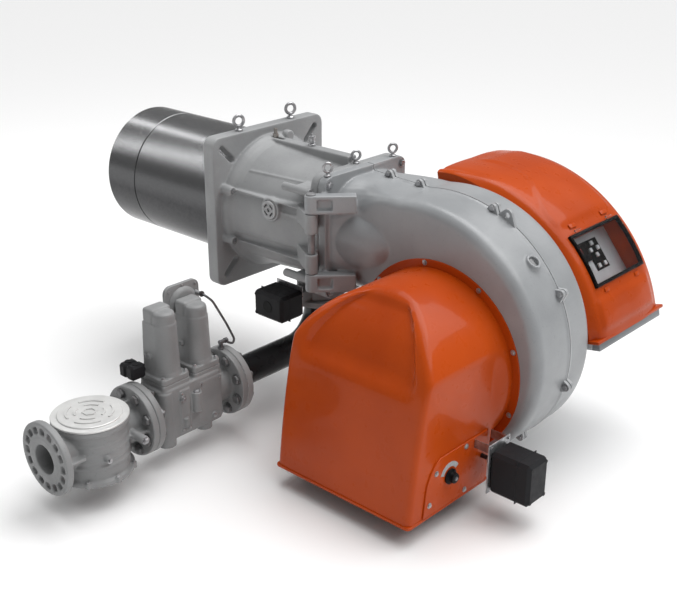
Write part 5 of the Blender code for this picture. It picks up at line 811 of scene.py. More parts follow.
def hood_shell(wall, back):
    """Hood as a closed form, drawn in by the wall."""
    floor = -0.520 + wall
    radius = 0.250 - wall
    front_wall = wall * 1.5
    flank_steps, arch_steps, columns = 26, 32, 40
    rows = flank_steps + arch_steps

    def side(inset):
        half, arch = 0.2275 - inset, 0.250 - inset
        spring = math.acos(half / arch)
        spring_z = FAN_Z + arch * math.sin(spring)
        lower = [(half, floor + (spring_z - floor) * k / flank_steps) for k in range(flank_steps)]
        turns = [spring + (math.pi / 2 - spring) * k / arch_steps for k in range(arch_steps + 1)]
        return lower + [(arch * math.cos(turn), FAN_Z + arch * math.sin(turn)) for turn in turns]

    def ring(inset, place):
        right = side(inset)
        bottom = [(right[0][0] * (2 * k / columns - 1), floor) for k in range(1, columns)]
        outline = right + [(-x, z) for x, z in right[-2::-1]] + bottom
        return [place(x, z) for x, z in outline]

    def circle(y, share):
        def place(x, z):
            reach = max(math.hypot(x, z - FAN_Z), 1e-6)
            keep = 1 + (radius / reach - 1) * share
            return (FAN_X + x * keep, y, FAN_Z + (z - FAN_Z) * keep)
        return place

    def front(back_by):
        def place(x, z):
            return (FAN_X + x, through(HOOD_PROFILE, z) + back_by + front_wall + scoop_depth(x, z), z)
        return place

    def flank(share):
        def place(x, z):
            return (FAN_X + x, cowl_start + (through(HOOD_PROFILE, z) + 0.018 + front_wall - cowl_start) * share, z)
        return place

    collar_end, cowl_start, edge = -0.1253, -0.1803, 0.016
    rings = [ring(wall, circle(back, 1.0)), ring(wall, circle(collar_end, 1.0))]
    rings += [ring(wall, circle(collar_end - 0.055 * k / 8, 1 - ease(k / 8, 0, 1))) for k in range(1, 9)]
    rings += [ring(wall, flank(k / 6)) for k in range(1, 7)]
    for k in range(1, 7):
        angle = math.pi / 2 * k / 6
        rings.append(ring(wall + edge * (1 - math.cos(angle)), front(edge * (1 - math.sin(angle)))))
    bm = bmesh.new()
    loops = join_rings(bm, rings)
    last = loops[-1]
    lines = []
    for row in range(rows):
        right, left = last[row], last[2 * rows - row]
        if row == 0:
            middle = last[2 * rows + 1:][::-1]
        else:
            middle = []
            for k in range(1, columns):
                spot = right.co.lerp(left.co, k / columns)
                spot.y = through(HOOD_PROFILE, spot.z) + front_wall + scoop_depth(spot.x - FAN_X, spot.z)
                middle.append(bm.verts.new(spot))
        lines.append([right] + middle + [left])
    for lower, upper in zip(lines, lines[1:]):
        for k in range(columns):
            bm.faces.new((lower[k], lower[k + 1], upper[k + 1], upper[k]))
    for k in range(columns):
        bm.faces.new((lines[-1][k], lines[-1][k + 1], last[rows]))
    bm.faces.new(loops[0])
    bmesh.ops.recalc_face_normals(bm, faces=bm.faces)
    return bm


collar = turned([(0, -0.1183), (0.2705, -0.1183), (0.2720, -0.1172), (0.2720, -0.1153), (0, -0.1153)], "Y",
                FAN_AXIS, 128)
lip = plate(rounded(0.166, 0.2305, 0.012, 6, (-0.337, FAN_X)), -0.5205, -0.5110, "Z")
moved(lip, Matrix(((0, 1, 0, 0), (1, 0, 0, 0), (0, 0, 1, 0), (0, 0, 0, 1))))
bmesh.ops.reverse_faces(lip, faces=lip.faces)
round_off(lip, rims(lip, "Z"), 0.0035, 3)
hood_mesh = worked("hood", hood_shell(0.0, -0.1168), [
    add(collar), add(lip), cut(hood_shell(0.003, -0.100)),
    cut(block((0.5745, -0.488, -0.560), (1.0055, -0.180, -0.500)))])
seat("air_hood_moulded", hood_mesh, ORANGE, "fan_unit", ("air_hood",), 28)


def fan_circle(radius, y, angles):
    """Places round the fan's axis, the angles in degrees."""
    return [(FAN_X + radius * math.cos(math.radians(a)), y, FAN_Z + radius * math.sin(math.radians(a)))
            for a in angles]


collar_screws = fan_circle(0.262, -0.1181, (20, 60, 100, 140, 180, 220, 262, 300, 340))
fastened("hood_screws", bolts(collar_screws, "-Y", 0.010, 0.004))


# Side panel of the hood: a separate orange cover plate over the damper shafts, with a grey arc scale
# round the adjusting knob and four plate screws. The knob is black moulded plastic with a steel screw.
panel_plate = plate([(-0.447, -0.5107), (-0.438, -0.444), (-0.4335, -0.420), (-0.421, -0.395), (-0.405, -0.375),
                     (-0.383, -0.363), (-0.190, -0.363), (-0.190, -0.5107)][::-1], 1.0178, 1.0218)
outer_edges = [e for e in panel_plate.edges if min(v.co.x for v in e.verts) > 1.0217]
round_off(panel_plate, outer_edges, 0.0018, 3)
REAR_SHAFT_Y, FRONT_SHAFT_Y, SHAFT_Z = -0.210, -0.345, -0.430
side_holes = [bar(0.0066, 1.010, 1.030, "X", (0, y, SHAFT_Z), 24) for y in (REAR_SHAFT_Y, FRONT_SHAFT_Y)]
seat("side_cover_plate", worked("side_cover", panel_plate, [cut(*side_holes)]), ORANGE, "fan_unit",
     ("hood_side_panel",), 30)
plate_screws = [(1.0216, y, z) for y, z in ((-0.424, -0.480), (-0.400, -0.400), (-0.280, -0.374), (-0.280, -0.500))]
fastened("side_screws", bolts(plate_screws, "X", 0.010, 0.004))
SCALE_GREY = patterned("printed_scale_grey", (0.42, 0.43, 0.44), 0.0, 0.5,
                       tones=(120, 4, (0.34, 0.35, 0.36), (0.47, 0.48, 0.49)), bumps=(300, 3, 0.00005))


def arc_band(inner, outer, low, high, axis, steps, degrees):
    """Flat band bent over part of a circle, its two ends closed."""
    band = turned([(inner, low), (outer, low), (outer, high), (inner, high)], axis, steps=steps,
                  arc=math.radians(degrees))
    bmesh.ops.holes_fill(band, edges=[e for e in band.edges if e.is_boundary], sides=0)
    bmesh.ops.recalc_face_normals(band, faces=band.faces)
    return band


scale_arc = arc_band(0.0260, 0.0395, 0.0, 0.0006, "X", 40, 130)
moved(scale_arc, Matrix.Translation((1.0217, FRONT_SHAFT_Y, SHAFT_Z)) @ Matrix.Rotation(math.radians(30), 4, "X"))
make("knob_scale", scale_arc, SCALE_GREY, "fan_unit")
BLACK_MOULD = finish("black_moulded_plastic", (0.010, 0.010, 0.011), 0.0, 0.42)
tree = BLACK_MOULD.node_tree
shader = tree.nodes["Principled BSDF"]
shader.inputs["Specular IOR Level"].default_value = 0.10
base = shades(tree, noise(tree, 20, 5), (0.0025, 0.0025, 0.0028), (0.0060, 0.0060, 0.0064))
base = blend_colours(tree, worn_edges(tree, 0.53, 0.62), base, (0.022, 0.022, 0.024))
tree.links.new(base, shader.inputs["Base Color"])
tree.links.new(spread(tree, noise(tree, 60, 4), 0.34, 0.52), shader.inputs["Roughness"])
tree.links.new(grain(tree, noise(tree, 900, 2), 0.00008), shader.inputs["Normal"])
knob = turned([(0.0063, 0), (0.0200, 0), (0.0210, 0.0010), (0.0210, 0.0045), (0.0195, 0.0060), (0.0155, 0.0080),
               (0.0142, 0.0100), (0.0140, 0.0175), (0.0125, 0.0195), (0.0063, 0.0200)], "X",
              (1.0224, FRONT_SHAFT_Y, SHAFT_Z), 48)
pointer = block((1.0420, -0.346, -0.420), (1.0428, -0.344, -0.412))
make("adjusting_knob", gather(knob, pointer), BLACK_MOULD, "front_damper", ("damper_knob",))
fastened("knob_screw", bolts([(1.0421, FRONT_SHAFT_Y, SHAFT_Z)], "X", 0.008, 0.003, 1.2), "front_damper")


# Air servo: a black moulded box with a stepped lid held by four screws, on a zinc-plated bracket that
# stands off the side plate, with a coupling on the rear damper's shaft.
def servo_box(low, high, face, lid):
    """Moulded servo housing: the box, the lip of its lid, and screw wells in the lid's corners."""
    (x0, y0, z0), (x1, y1, z1) = low, high
    proud, lip, well = 0.0006, 0.0022, 0.012
    if face == "X":
        joint = block((x1 - lid, y0 - proud, z0 - proud), (x1 - lid + lip, y1 + proud, z1 + proud), proud, 1)
        places = [(x1 - 0.0002, y, z) for y in (y0 + well, y1 - well) for z in (z0 + well, z1 - well)]
    else:
        joint = block((x0 - proud, y0 + lid - lip, z0 - proud), (x1 + proud, y0 + lid, z1 + proud), proud, 1)
        places = [(x, y0 + 0.0002, z) for x in (x0 + well, x1 - well) for z in (z0 + well, z1 - well)]
    out = 1 if face == "X" else -1
    rim = [(0, 0), (0.0055, 0), (0.0055, proud * out), (0.0030, proud * out), (0.0026, -0.001 * out),
           (0, -0.001 * out)]
    return gather(block(low, high, 0.009, 1), joint, *[turned(rim, face, place, 20) for place in places])


make("air_servo_case", servo_box((1.0733, -0.250, -0.500), (1.1933, -0.165, -0.382), "X", 0.040), BLACK_MOULD,
     "fan_unit", ("air_servo",))
softened("air_servo_bracket", 0.0008, ZINC_STEEL, "fan_unit")
fastened("bracket_screws", bolts([(1.0732, y, -0.374) for y in (-0.245, -0.170)], "X", 0.008, 0.004))
make("shaft_coupling", gather(turned([(0.0062, 1.046), (0.0120, 1.046), (0.0125, 1.0465), (0.0125, 1.0630),
                                      (0.0120, 1.0640), (0.0062, 1.0640)], "X",
                                     (0, REAR_SHAFT_Y, SHAFT_Z), 32),
                              bar(0.002, 0.010, 0.0145, "Z", (1.055, REAR_SHAFT_Y, SHAFT_Z), 12)),
     ZINC_STEEL, "rear_damper")


# Fan motor: a finned grey-painted frame under the panel cover, its flange bolted to the fan housing,
# with a terminal box on top and a pressed cowl with air slots over its cooling fan.
MOTOR_PAINT = cast_paint("motor_paint", (0.150, 0.162, 0.175), (0.190, 0.203, 0.218), (0.30, 0.31, 0.32), 0.42,
                         0.00012)
motor_frame = turned([(0.0212, 0.1353), (0.1195, 0.1353), (0.1195, 0.1403), (0.1500, 0.1403), (0.1500, 0.1528),
                      (0.1485, 0.1543), (0.1120, 0.1643), (0.1010, 0.1703), (0.1010, 0.3563), (0.1038, 0.3593),
                      (0.1038, 0.3700), (0.0940, 0.3843), (0.0212, 0.3843), (0.0212, 0.3643), (0.0860, 0.3643),
                      (0.0860, 0.1603), (0.0212, 0.1603)], "Y", FAN_AXIS, 96)
fins = []
for k in range(44):
    angle = math.tau * (k + 0.5) / 44
    if not 55 < math.degrees(angle) < 125:
        fin = block((0.0985, 0.1725, -0.0012), (0.1160, 0.3545, 0.0012), 0.0005, 1)
        fins.append(moved(fin, Matrix.Translation(FAN_AXIS) @ Matrix.Rotation(-angle, 4, "Y")))
terminal_box = [block((FAN_X - 0.058, 0.1943, -0.163), (FAN_X + 0.058, 0.3043, -0.093), 0.006, 3),
                block((FAN_X - 0.0586, 0.1937, -0.1095), (FAN_X + 0.0586, 0.3049, -0.1070), 0.0006, 1)]
glands = [gather(turned([(0, 0.057), (0.0135, 0.057), (0.0135, 0.064), (0, 0.064)], "X", (FAN_X, y, -0.140), 6),
                 bar(0.0100, 0.063, 0.073, "X", (FAN_X, y, -0.140), 32)) for y in (0.225, 0.272)]
make("motor_frame_finned", gather(motor_frame, *fins, *terminal_box, *glands), MOTOR_PAINT, "fan_unit",
     ("motor_housing",))
fastened("motor_flange_bolts", bolts(fan_circle(0.136, 0.1541, (45, 135, 225, 315)), "Y", 0.017, 0.008))
lid_corners = [(FAN_X + u, y, -0.0932) for u in (-0.048, 0.048) for y in (0.204, 0.294)]
fastened("terminal_screws", bolts(lid_corners, "Z", 0.006, 0.003))
cowl_wall = turned([(0.1075, 0.3603), (0.1075, 0.4440), (0.1060, 0.4490), (0.1000, 0.4560), (0.0950, 0.4590),
                    (0.0900, 0.4593), (0, 0.4593), (0, 0.4563), (0.0940, 0.4563), (0.1000, 0.4510),
                    (0.1045, 0.4440), (0.1045, 0.3603)], "Y", FAN_AXIS, 96)
air_slots = [block((FAN_X - half, 0.448, FAN_Z + level - 0.0032), (FAN_X + half, 0.470, FAN_Z + level + 0.0032))
             for level, half in ((-0.064, 0.046), (-0.048, 0.062), (-0.032, 0.072), (-0.016, 0.077), (0.0, 0.079),
                                 (0.016, 0.077), (0.032, 0.072), (0.048, 0.062), (0.064, 0.046))]
seat("motor_cowl_pressed", worked("cowl", cowl_wall, [cut(gather(*air_slots))]), MOTOR_PAINT, "fan_unit",
     ("motor_fan_cowl",))
dress(BLACK_MOULD, "motor_cooling_fan")


# Panel cover: a glossy orange moulding crowned over the motor, with a raised crown that fades towards
# the window, a sunk window, hinge leaves above it and catches below, and a flanged lower edge.
PANEL_X, PANEL_Z = 0.660, -0.310
COVER_RADIUS, COVER_NEAR, COVER_FAR = 0.455, 0.146, 0.496
WINDOW_LOW, WINDOW_HIGH = 29.5, 48.0
CROWN_LINE = ((-0.07, -0.76), (0.0, 0.0), (0.07, 0.76), (0.20, 0.98), (0.46, 1.0), (0.72, 0.98), (0.94, 0.62),
              (1.0, 0.0), (1.06, -0.62))


def on_arc(radius, angle, y):
    """Place on the cover's curve, the angle in degrees."""
    return Vector((PANEL_X + radius * math.cos(math.radians(angle)), y,
                   PANEL_Z + radius * math.sin(math.radians(angle))))


def cover_shell(wall, low_angle, high_angle, floor, steps):
    """Crowned sector from the floor radius out to the skin, drawn in by the wall."""
    width = COVER_FAR - COVER_NEAR - 2 * wall
    rings = []
    for step in range(steps + 1):
        angle = low_angle + (high_angle - low_angle) * step / steps
        ring = []
        for k in range(61):
            share = 0.5 - 0.5 * math.cos(math.pi * k / 60) * (0.55 + 0.45 * abs(math.cos(math.pi * k / 60)))
            share = min(max(share, 0.0), 1.0)
            crest = ease(angle, 56, 80)
            near_line = 0.10 + 0.30 * crest
            raised = ease(share, near_line - 0.012, near_line + 0.018) * (1 - ease(share, 0.845, 0.885))
            raised *= ease(angle, 15, 17) * (1 - ease(angle, 24.5, 27)) + ease(angle, 50.5, 54)
            rise = 0.030 * through(CROWN_LINE, share) + 0.0046 * raised * (1 - ease(angle, 90, 97))
            square = 0.021 * (1 - ease(share, 0.0, 0.09)) * ease(angle, 74, 99)
            ring.append(on_arc(COVER_RADIUS + rise + square - wall, angle, COVER_NEAR + wall + width * share))
        rings.append(ring + [on_arc(floor, angle, y) for y in (COVER_FAR - wall, COVER_NEAR + wall)])
    return closed_skin(rings)


def arc_block(grow, inner, outer, low_angle=WINDOW_LOW, high_angle=WINDOW_HIGH, near=0.190, far=0.440, steps=10):
    """Curved block between two radii, over the window unless placed elsewhere, and grown all round."""
    spare = math.degrees(grow / COVER_RADIUS)
    rings = []
    for step in range(steps + 1):
        angle = low_angle - spare + (high_angle - low_angle + 2 * spare) * step / steps
        rings.append([on_arc(radius, angle, y) for radius, y in (
            (inner, near - grow), (outer, near - grow), (outer, far + grow), (inner, far + grow))])
    return closed_skin(rings)


cover_mesh = worked("cover", cover_shell(0.0, 12.5, 100.5, 0.300, 110), [
    cut(cover_shell(0.004, 9.5, 99.9, 0.250, 60)), add(arc_block(0.004, 0.413, 0.4775)),
    cut(arc_block(0.0, 0.425, 0.530))])
seat("panel_cover_moulded", cover_mesh, ORANGE, "fan_unit", ("panel_cover",), 30)


def on_cover(radius, angle):
    """Lays a piece that was made flat on the cover's curve."""
    return Matrix.Translation(on_arc(radius, angle, 0)) @ Matrix.Rotation(math.radians(90 - angle), 4, "Y")


tabs = []
for y in (0.220, 0.380):
    leaf = block((-0.0085, y, -0.002), (0.0050, y + 0.030, 0.0042), 0.0016, 2)
    catch = block((-0.0050, y + 0.004, -0.003), (0.0065, y + 0.024, 0.0038), 0.0016, 2)
    tabs += [moved(leaf, on_cover(0.4852, 50.6)), moved(catch, on_cover(0.4850, 27.9))]
edge_strip = arc_block(0.0, 0.4520, 0.4850, 12.5, 13.6, 0.142, COVER_FAR, 2)
round_off(edge_strip, edge_strip.edges, 0.0025, 3)
make("cover_tabs", gather(*tabs, edge_strip), ORANGE, "fan_unit")


# Window: a black moulded frame in the cover's opening, a clear hinged flap over it, and below them the
# grey facia with a black key film, a display with red digits, six pale keys and two rocker switches.
frame_mesh = worked("window_surround", arc_block(-0.0003, 0.4790, 0.4903), [
    cut(arc_block(-0.0085, 0.4700, 0.5000)), edge_break(0.0014, 3)])
seat("window_surround", frame_mesh, BLACK_MOULD, "fan_unit", ("window_frame",))
CLEAR = patterned("clear_flap_plastic", (0.96, 0.97, 0.98), 0.0, 0.04,
                  tones=(30, 4, (0.93, 0.94, 0.95), (0.98, 0.985, 0.99)), gloss=(60, 4, 0.02, 0.07))
shader = CLEAR.node_tree.nodes["Principled BSDF"]
shader.inputs["Transmission Weight"].default_value = 1.0
shader.inputs["IOR"].default_value = 1.2
dress(CLEAR, "window_flap")
FACIA_GREY = patterned("facia_silver_grey", (0.36, 0.37, 0.38), 0.25, 0.46,
                       tones=(18, 5, (0.45, 0.47, 0.49), (0.54, 0.56, 0.58)), bumps=(800, 2, 0.00005))
dress(FACIA_GREY, "panel_facia")
softened("panel_base", 0.0006, FACIA_GREY, "fan_unit", 2)
base_strip = arc_block(0.0, 0.4460, 0.4790, 9.9, 12.4, 0.154, 0.484, 2)
round_off(base_strip, base_strip.edges, 0.0015, 2)
make("base_edge_strip", base_strip, MOTOR_PAINT, "fan_unit")
FACIA_PLACE = on_cover(0.4254, (WINDOW_LOW + WINDOW_HIGH) / 2)
KEY_HOLE = 0.0068
KEY_PLACES = ((-0.040, 0.345), (-0.022, 0.327), (-0.022, 0.363), (-0.004, 0.345), (0.026, 0.330), (0.026, 0.360))
film_holes = [block((down - KEY_HOLE, along - KEY_HOLE, -0.001), (down + KEY_HOLE, along + KEY_HOLE, 0.002))
              for down, along in KEY_PLACES]
film = block((-0.0520, 0.3115, 0.0002), (0.0390, 0.3760, 0.0010), 0.0003, 1)
film_mesh = worked("film", film, [cut(*film_holes)])
film_mesh.transform(FACIA_PLACE)
seat("key_film", film_mesh, BLACK_MOULD, "fan_unit")
softened("display_module", 0.0010, BLACK_MOULD, "fan_unit", 2)
softened("rocker_switch_left", 0.0006, BLACK_MOULD, "left_rocker", 2)
softened("rocker_switch_right", 0.0006, BLACK_MOULD, "right_rocker", 2)
PALE_KEY = patterned("pale_key_plastic_matt", (0.66, 0.68, 0.70), 0.0, 0.45,
                     tones=(60, 4, (0.60, 0.62, 0.64), (0.70, 0.72, 0.74)), bumps=(700, 2, 0.00004))
for number in range(1, 7):
    softened("key_" + str(number), 0.0010, PALE_KEY, "key_" + str(number), 3)
RED_SEGMENTS = patterned("display_red", (0.55, 0.02, 0.01), 0.0, 0.4,
                         tones=(200, 3, (0.45, 0.012, 0.006), (0.62, 0.03, 0.015)))
shader = RED_SEGMENTS.node_tree.nodes["Principled BSDF"]
shader.inputs["Emission Color"].default_value = (1.0, 0.04, 0.01, 1)
shader.inputs["Emission Strength"].default_value = 0.5
SEGMENTS = {"a": (-0.0085, 0, 1), "g": (0, 0, 1), "d": (0.0085, 0, 1), "f": (-0.0043, -0.0045, 0),
            "b": (-0.0043, 0.0045, 0), "e": (0.0043, -0.0045, 0), "c": (0.0043, 0.0045, 0)}
DIGIT_LINE = -0.030
lit = []
for place, letters in ((0.240, "abcdef"), (0.257, "abged"), (0.274, "abcdefg")):
    for letter in letters:
        down, along, lies = SEGMENTS[letter]
        half_down, half_along = (0.0009, 0.0034) if lies else (0.0034, 0.0009)
        lit.append(block((DIGIT_LINE + down - half_down, place + along - half_along, 0.0064),
                         (DIGIT_LINE + down + half_down, place + along + half_along, 0.0070)))
make("display_digits", moved(gather(*lit), FACIA_PLACE), RED_SEGMENTS, "fan_unit")


# Gas filter: a grey-painted casting, a round pot between two flanges, ribbed and with a bolted foot.
# Its pale metal lid carries two broken rings of raised marks round a small raised hexagon.
TRAIN_Z, FILTER_Y = -0.410, -0.8573
TRAIN_AXIS, FILTER_AXIS = (TRAIN_X, 0, TRAIN_Z), (TRAIN_X, FILTER_Y, 0)
TRAIN_PAINT = cast_paint("train_grey_paint", (0.205, 0.208, 0.210), (0.262, 0.266, 0.268), (0.36, 0.365, 0.37),
                         0.48, 0.00025)


def pipe_flange(low, high):
    """Flange of the gas train between two places along it."""
    return turned([(0, low), (0.0985, low), (0.1000, low + 0.0015), (0.1000, high - 0.0015), (0.0985, high),
                   (0, high)], "Y", TRAIN_AXIS, 96)


def flange_ring(y, radius=0.080, count=8):
    """Places on a flange's bolt circle."""
    return [(TRAIN_X + radius * math.cos(math.tau * (k + 0.5) / count), y,
             TRAIN_Z + radius * math.sin(math.tau * (k + 0.5) / count)) for k in range(count)]


pot = turned([(0, -0.500), (0.1030, -0.500), (0.1050, -0.498), (0.1050, -0.487), (0.1035, -0.486), (0.0950, -0.482),
              (0.0950, -0.452), (0.0985, -0.450), (0.0985, -0.444), (0.0950, -0.442), (0.0950, -0.360),
              (0.1000, -0.3565), (0.1015, -0.354), (0.1015, -0.342), (0, -0.342)], "Z", FILTER_AXIS, 96)
pot_bits = [pipe_flange(-1.0023, -0.9823), pipe_flange(-0.7323, -0.7123),
            bar(0.0580, -1.0036, -0.9900, "Y", TRAIN_AXIS, 64),
            bar(0.0550, -0.9923, -0.7223, "Y", TRAIN_AXIS, 64)]
for y0, y1 in ((-0.985, -0.930), (-0.785, -0.730)):
    pot_bits.append(block((TRAIN_X - 0.004, y0, TRAIN_Z - 0.078), (TRAIN_X + 0.004, y1, TRAIN_Z + 0.066)))
    pot_bits.append(block((TRAIN_X - 0.078, y0, TRAIN_Z - 0.004), (TRAIN_X + 0.078, y1, TRAIN_Z + 0.004)))
FOOT = [(TRAIN_X + 0.102 * math.cos(math.radians(a)), FILTER_Y + 0.102 * math.sin(math.radians(a)), -0.4832)
        for a in range(0, 360, 45)]
pot_bits += [bar(0.0085, -0.4995, -0.4830, "Z", (x, y, 0), 20) for x, y, z in FOOT]
for low, high in ((-0.4300, -0.4265), (-0.4080, -0.4045), (-0.3860, -0.3825)):
    pot_bits.append(bar(0.0975, low, high, "Z", FILTER_AXIS, 96))
pot_bits += [bar(0.0120, 0.040, 0.112, "X", (TRAIN_X, -0.770, -0.410), 24),
             bar(0.0090, 0.085, 0.106, "X", (TRAIN_X, -0.880, -0.425), 20)]
pot_cuts = [bar(0.040, -1.015, -0.700, "Y", TRAIN_AXIS, 48),
            bar(0.085, -0.488, -0.330, "Z", FILTER_AXIS, 64)]
CELLS, THROUGH_CELL, BLIND_CELL = 16, 0.0475, 0.0250
flange_face = Matrix.Translation((TRAIN_X, -1.0123, TRAIN_Z)) @ Matrix.Rotation(math.radians(-90), 4, "X")
for k in range(CELLS):
    outline = rounded(0.0088, 0.0098, 0.0040, 4, (0.0780, 0))
    cell = plate(outline, 0.0, THROUGH_CELL if k % 2 else BLIND_CELL, "Z")
    turn = Matrix.Rotation(math.tau * (k / CELLS), 4, "Z")
    pot_cuts.append(moved(cell, flange_face @ turn @ Matrix.Translation((0, 0, -0.0050))))
pot_mesh = worked("pot", pot, [add(*pot_bits), cut(*pot_cuts)] + melt(0.0023, 4, 0.30))
seat("filter_pot_cast", pot_mesh, TRAIN_PAINT, "head_and_train", ("gas_filter_body",), 60)
fastened("foot_screws", bolts(FOOT, "Z", 0.008, 0.004, 1.15), "head_and_train")
fastened("filter_plugs", gather(bolts([(TRAIN_X + 0.112, -0.770, -0.410)], "X", 0.014, 0.006),
                                bolts([(TRAIN_X + 0.106, -0.880, -0.425)], "X", 0.010, 0.005)), "head_and_train")
LID_METAL = patterned("pale_lid_metal_satin", (0.70, 0.70, 0.69), 0.35, 0.38,
                      tones=(14, 5, (0.62, 0.62, 0.61), (0.74, 0.74, 0.73)), gloss=(50, 4, 0.30, 0.46),
                      bumps=(350, 3, 0.00008))
lid = turned([(0, -0.3417), (0.1005, -0.3417), (0.1015, -0.3405), (0.1015, -0.3372), (0.1005, -0.3362),
              (0.0850, -0.3360), (0.0840, -0.3330), (0.0825, -0.3320), (0, -0.3320)], "Z", FILTER_AXIS, 128)
LID_TOP = (TRAIN_X, FILTER_Y, -0.3320)
MARK_LOW, MARK_HIGH, MARK_COUNT = -0.0006, 0.0030, 4
marks = []
for radius, width, degrees in ((0.058, 0.0058, 64), (0.036, 0.0054, 58)):
    for k in range(MARK_COUNT):
        mark = arc_band(radius, radius + width, MARK_LOW, MARK_HIGH, "Z", 20, degrees)
        turn = Matrix.Rotation(math.tau * k / MARK_COUNT + 0.3, 4, "Z")
        marks.append(moved(mark, Matrix.Translation(LID_TOP) @ turn))
hexagon = turned([(0.0150, MARK_LOW), (0.0205, MARK_LOW), (0.0205, MARK_HIGH), (0.0150, MARK_HIGH)], "Z", LID_TOP, 6)
make("filter_lid_turned", gather(lid, *marks, hexagon), LID_METAL, "head_and_train",
     ("filter_cover",), 25)


# Twin gas valve: a grey casting with two valve chambers between flanges, ribs, plugs and cover pads,
# with the two lifting valve discs inside.
VALVE_FRONT, VALVE_REAR = -0.712, -0.393
CHAMBERS = (-0.6075, -0.4975)
valve_core = plate(rounded(0.055, 0.1125, 0.030, 8, (TRAIN_X, -0.553)), -0.490, -0.335, "Z")
round_off(valve_core, rims(valve_core, "Z"), 0.006, 3)
valve_bits = [pipe_flange(VALVE_FRONT, VALVE_FRONT + 0.020), pipe_flange(VALVE_REAR - 0.020, VALVE_REAR),
              bar(0.0537, VALVE_FRONT + 0.0103, VALVE_REAR - 0.0103, "Y", TRAIN_AXIS, 60),
              block((0.2960, -0.606, -0.478), (0.3015, -0.572, -0.350), 0.001, 1),
              bar(0.0250, -0.510, -0.345, "Z", (0.2760, -0.6400, 0), 48),
              bar(0.0235, -0.508, -0.470, "Z", (0.2740, -0.5060, 0), 48),
              block((0.2960, -0.535, -0.478), (0.2995, -0.455, -0.350), 0.001, 1),
              block((0.1855, -0.600, -0.478), (0.1900, -0.500, -0.350), 0.001, 1),
              bar(0.0150, -0.430, -0.370, "Z", (0.3000, -0.548, 0), 40),
              bar(0.0080, -0.462, -0.435, "Z", (0.3020, -0.590, 0), 24),
              bar(0.0080, 0.053, 0.062, "X", (TRAIN_X, -0.488, -0.466), 24),
              bar(0.0080, 0.053, 0.066, "X", (TRAIN_X, -0.600, -0.372), 24)]
for y in CHAMBERS:
    valve_bits.append(bar(0.0495, -0.475, -0.3260, "Z", (TRAIN_X, y, 0), 64))
    valve_bits.append(bar(0.025, -0.510, -0.480, "Z", (TRAIN_X, y, 0), 48))
    valve_bits.append(plate(rounded(0.0505, 0.0480, 0.008, 5, (TRAIN_X, y)), -0.3365, -0.3225, "Z"))
valve_cuts = [bar(0.040, VALVE_FRONT - 0.01, VALVE_REAR + 0.01, "Y", TRAIN_AXIS, 48)]
valve_cuts += [turned([(0, -0.455), (0.042, -0.455), (0.042, -0.365), (0.0064, -0.360), (0.0064, -0.310),
                       (0, -0.310)], "Z", (TRAIN_X, y, 0), 32) for y in CHAMBERS]
valve_mesh = worked("valve", valve_core, [add(*valve_bits), cut(*valve_cuts)] + melt(0.0021, 3, 0.30))
seat("valve_body_cast", valve_mesh, TRAIN_PAINT, "head_and_train", ("gas_valve_body",), 60)
inlet_pad = [(0.3013, y, z) for y, z in ((-0.600, -0.470), (-0.578, -0.470), (-0.600, -0.358))]
outlet_pad = [(0.2993, y, z) for y, z in ((-0.527, -0.358), (-0.463, -0.358), (-0.463, -0.470))]
fastened("valve_plugs", gather(
    bolts([(0.3000, -0.548, -0.3702)], "Z", 0.018, 0.005, 1.1), bolts([(0.3050, -0.488, -0.466)], "X", 0.009, 0.003),
    bolts([(0.3090, -0.600, -0.372)], "X", 0.011, 0.005), bolts(inlet_pad, "X", 0.006, 0.003, 1.1),
    bolts(outlet_pad, "X", 0.006, 0.003, 1.1)), "head_and_train")
dress(ZINC_STEEL, "valve_disc_inlet", "valve_disc_outlet", "gas_butterfly_disc")


# Valve actuators: die-cast columns on square foot plates, flat on the boiler side and round on the
# fan side, each with a lid set in at the top. A diaphragm regulator stands on the boiler side of the
# second, a shallow drum clamped between two square plates with round corners.
def column(place, low, high, low_scale, high_scale):
    """Upright of an actuator, flat on the boiler side and round on the fan side, tapered by the scales."""
    outline = [(-0.045, -0.038), (0.010, -0.038)]
    outline += [(0.010 + 0.038 * math.cos(math.radians(a)), 0.038 * math.sin(math.radians(a)))
                for a in range(-84, 90, 6)]
    outline += [(0.010, 0.038), (-0.045, 0.038)]
    return closed_skin([[(TRAIN_X + u * scale, place + v * scale, z) for u, v in outline]
                        for z, scale in ((low, low_scale), (high, high_scale))])


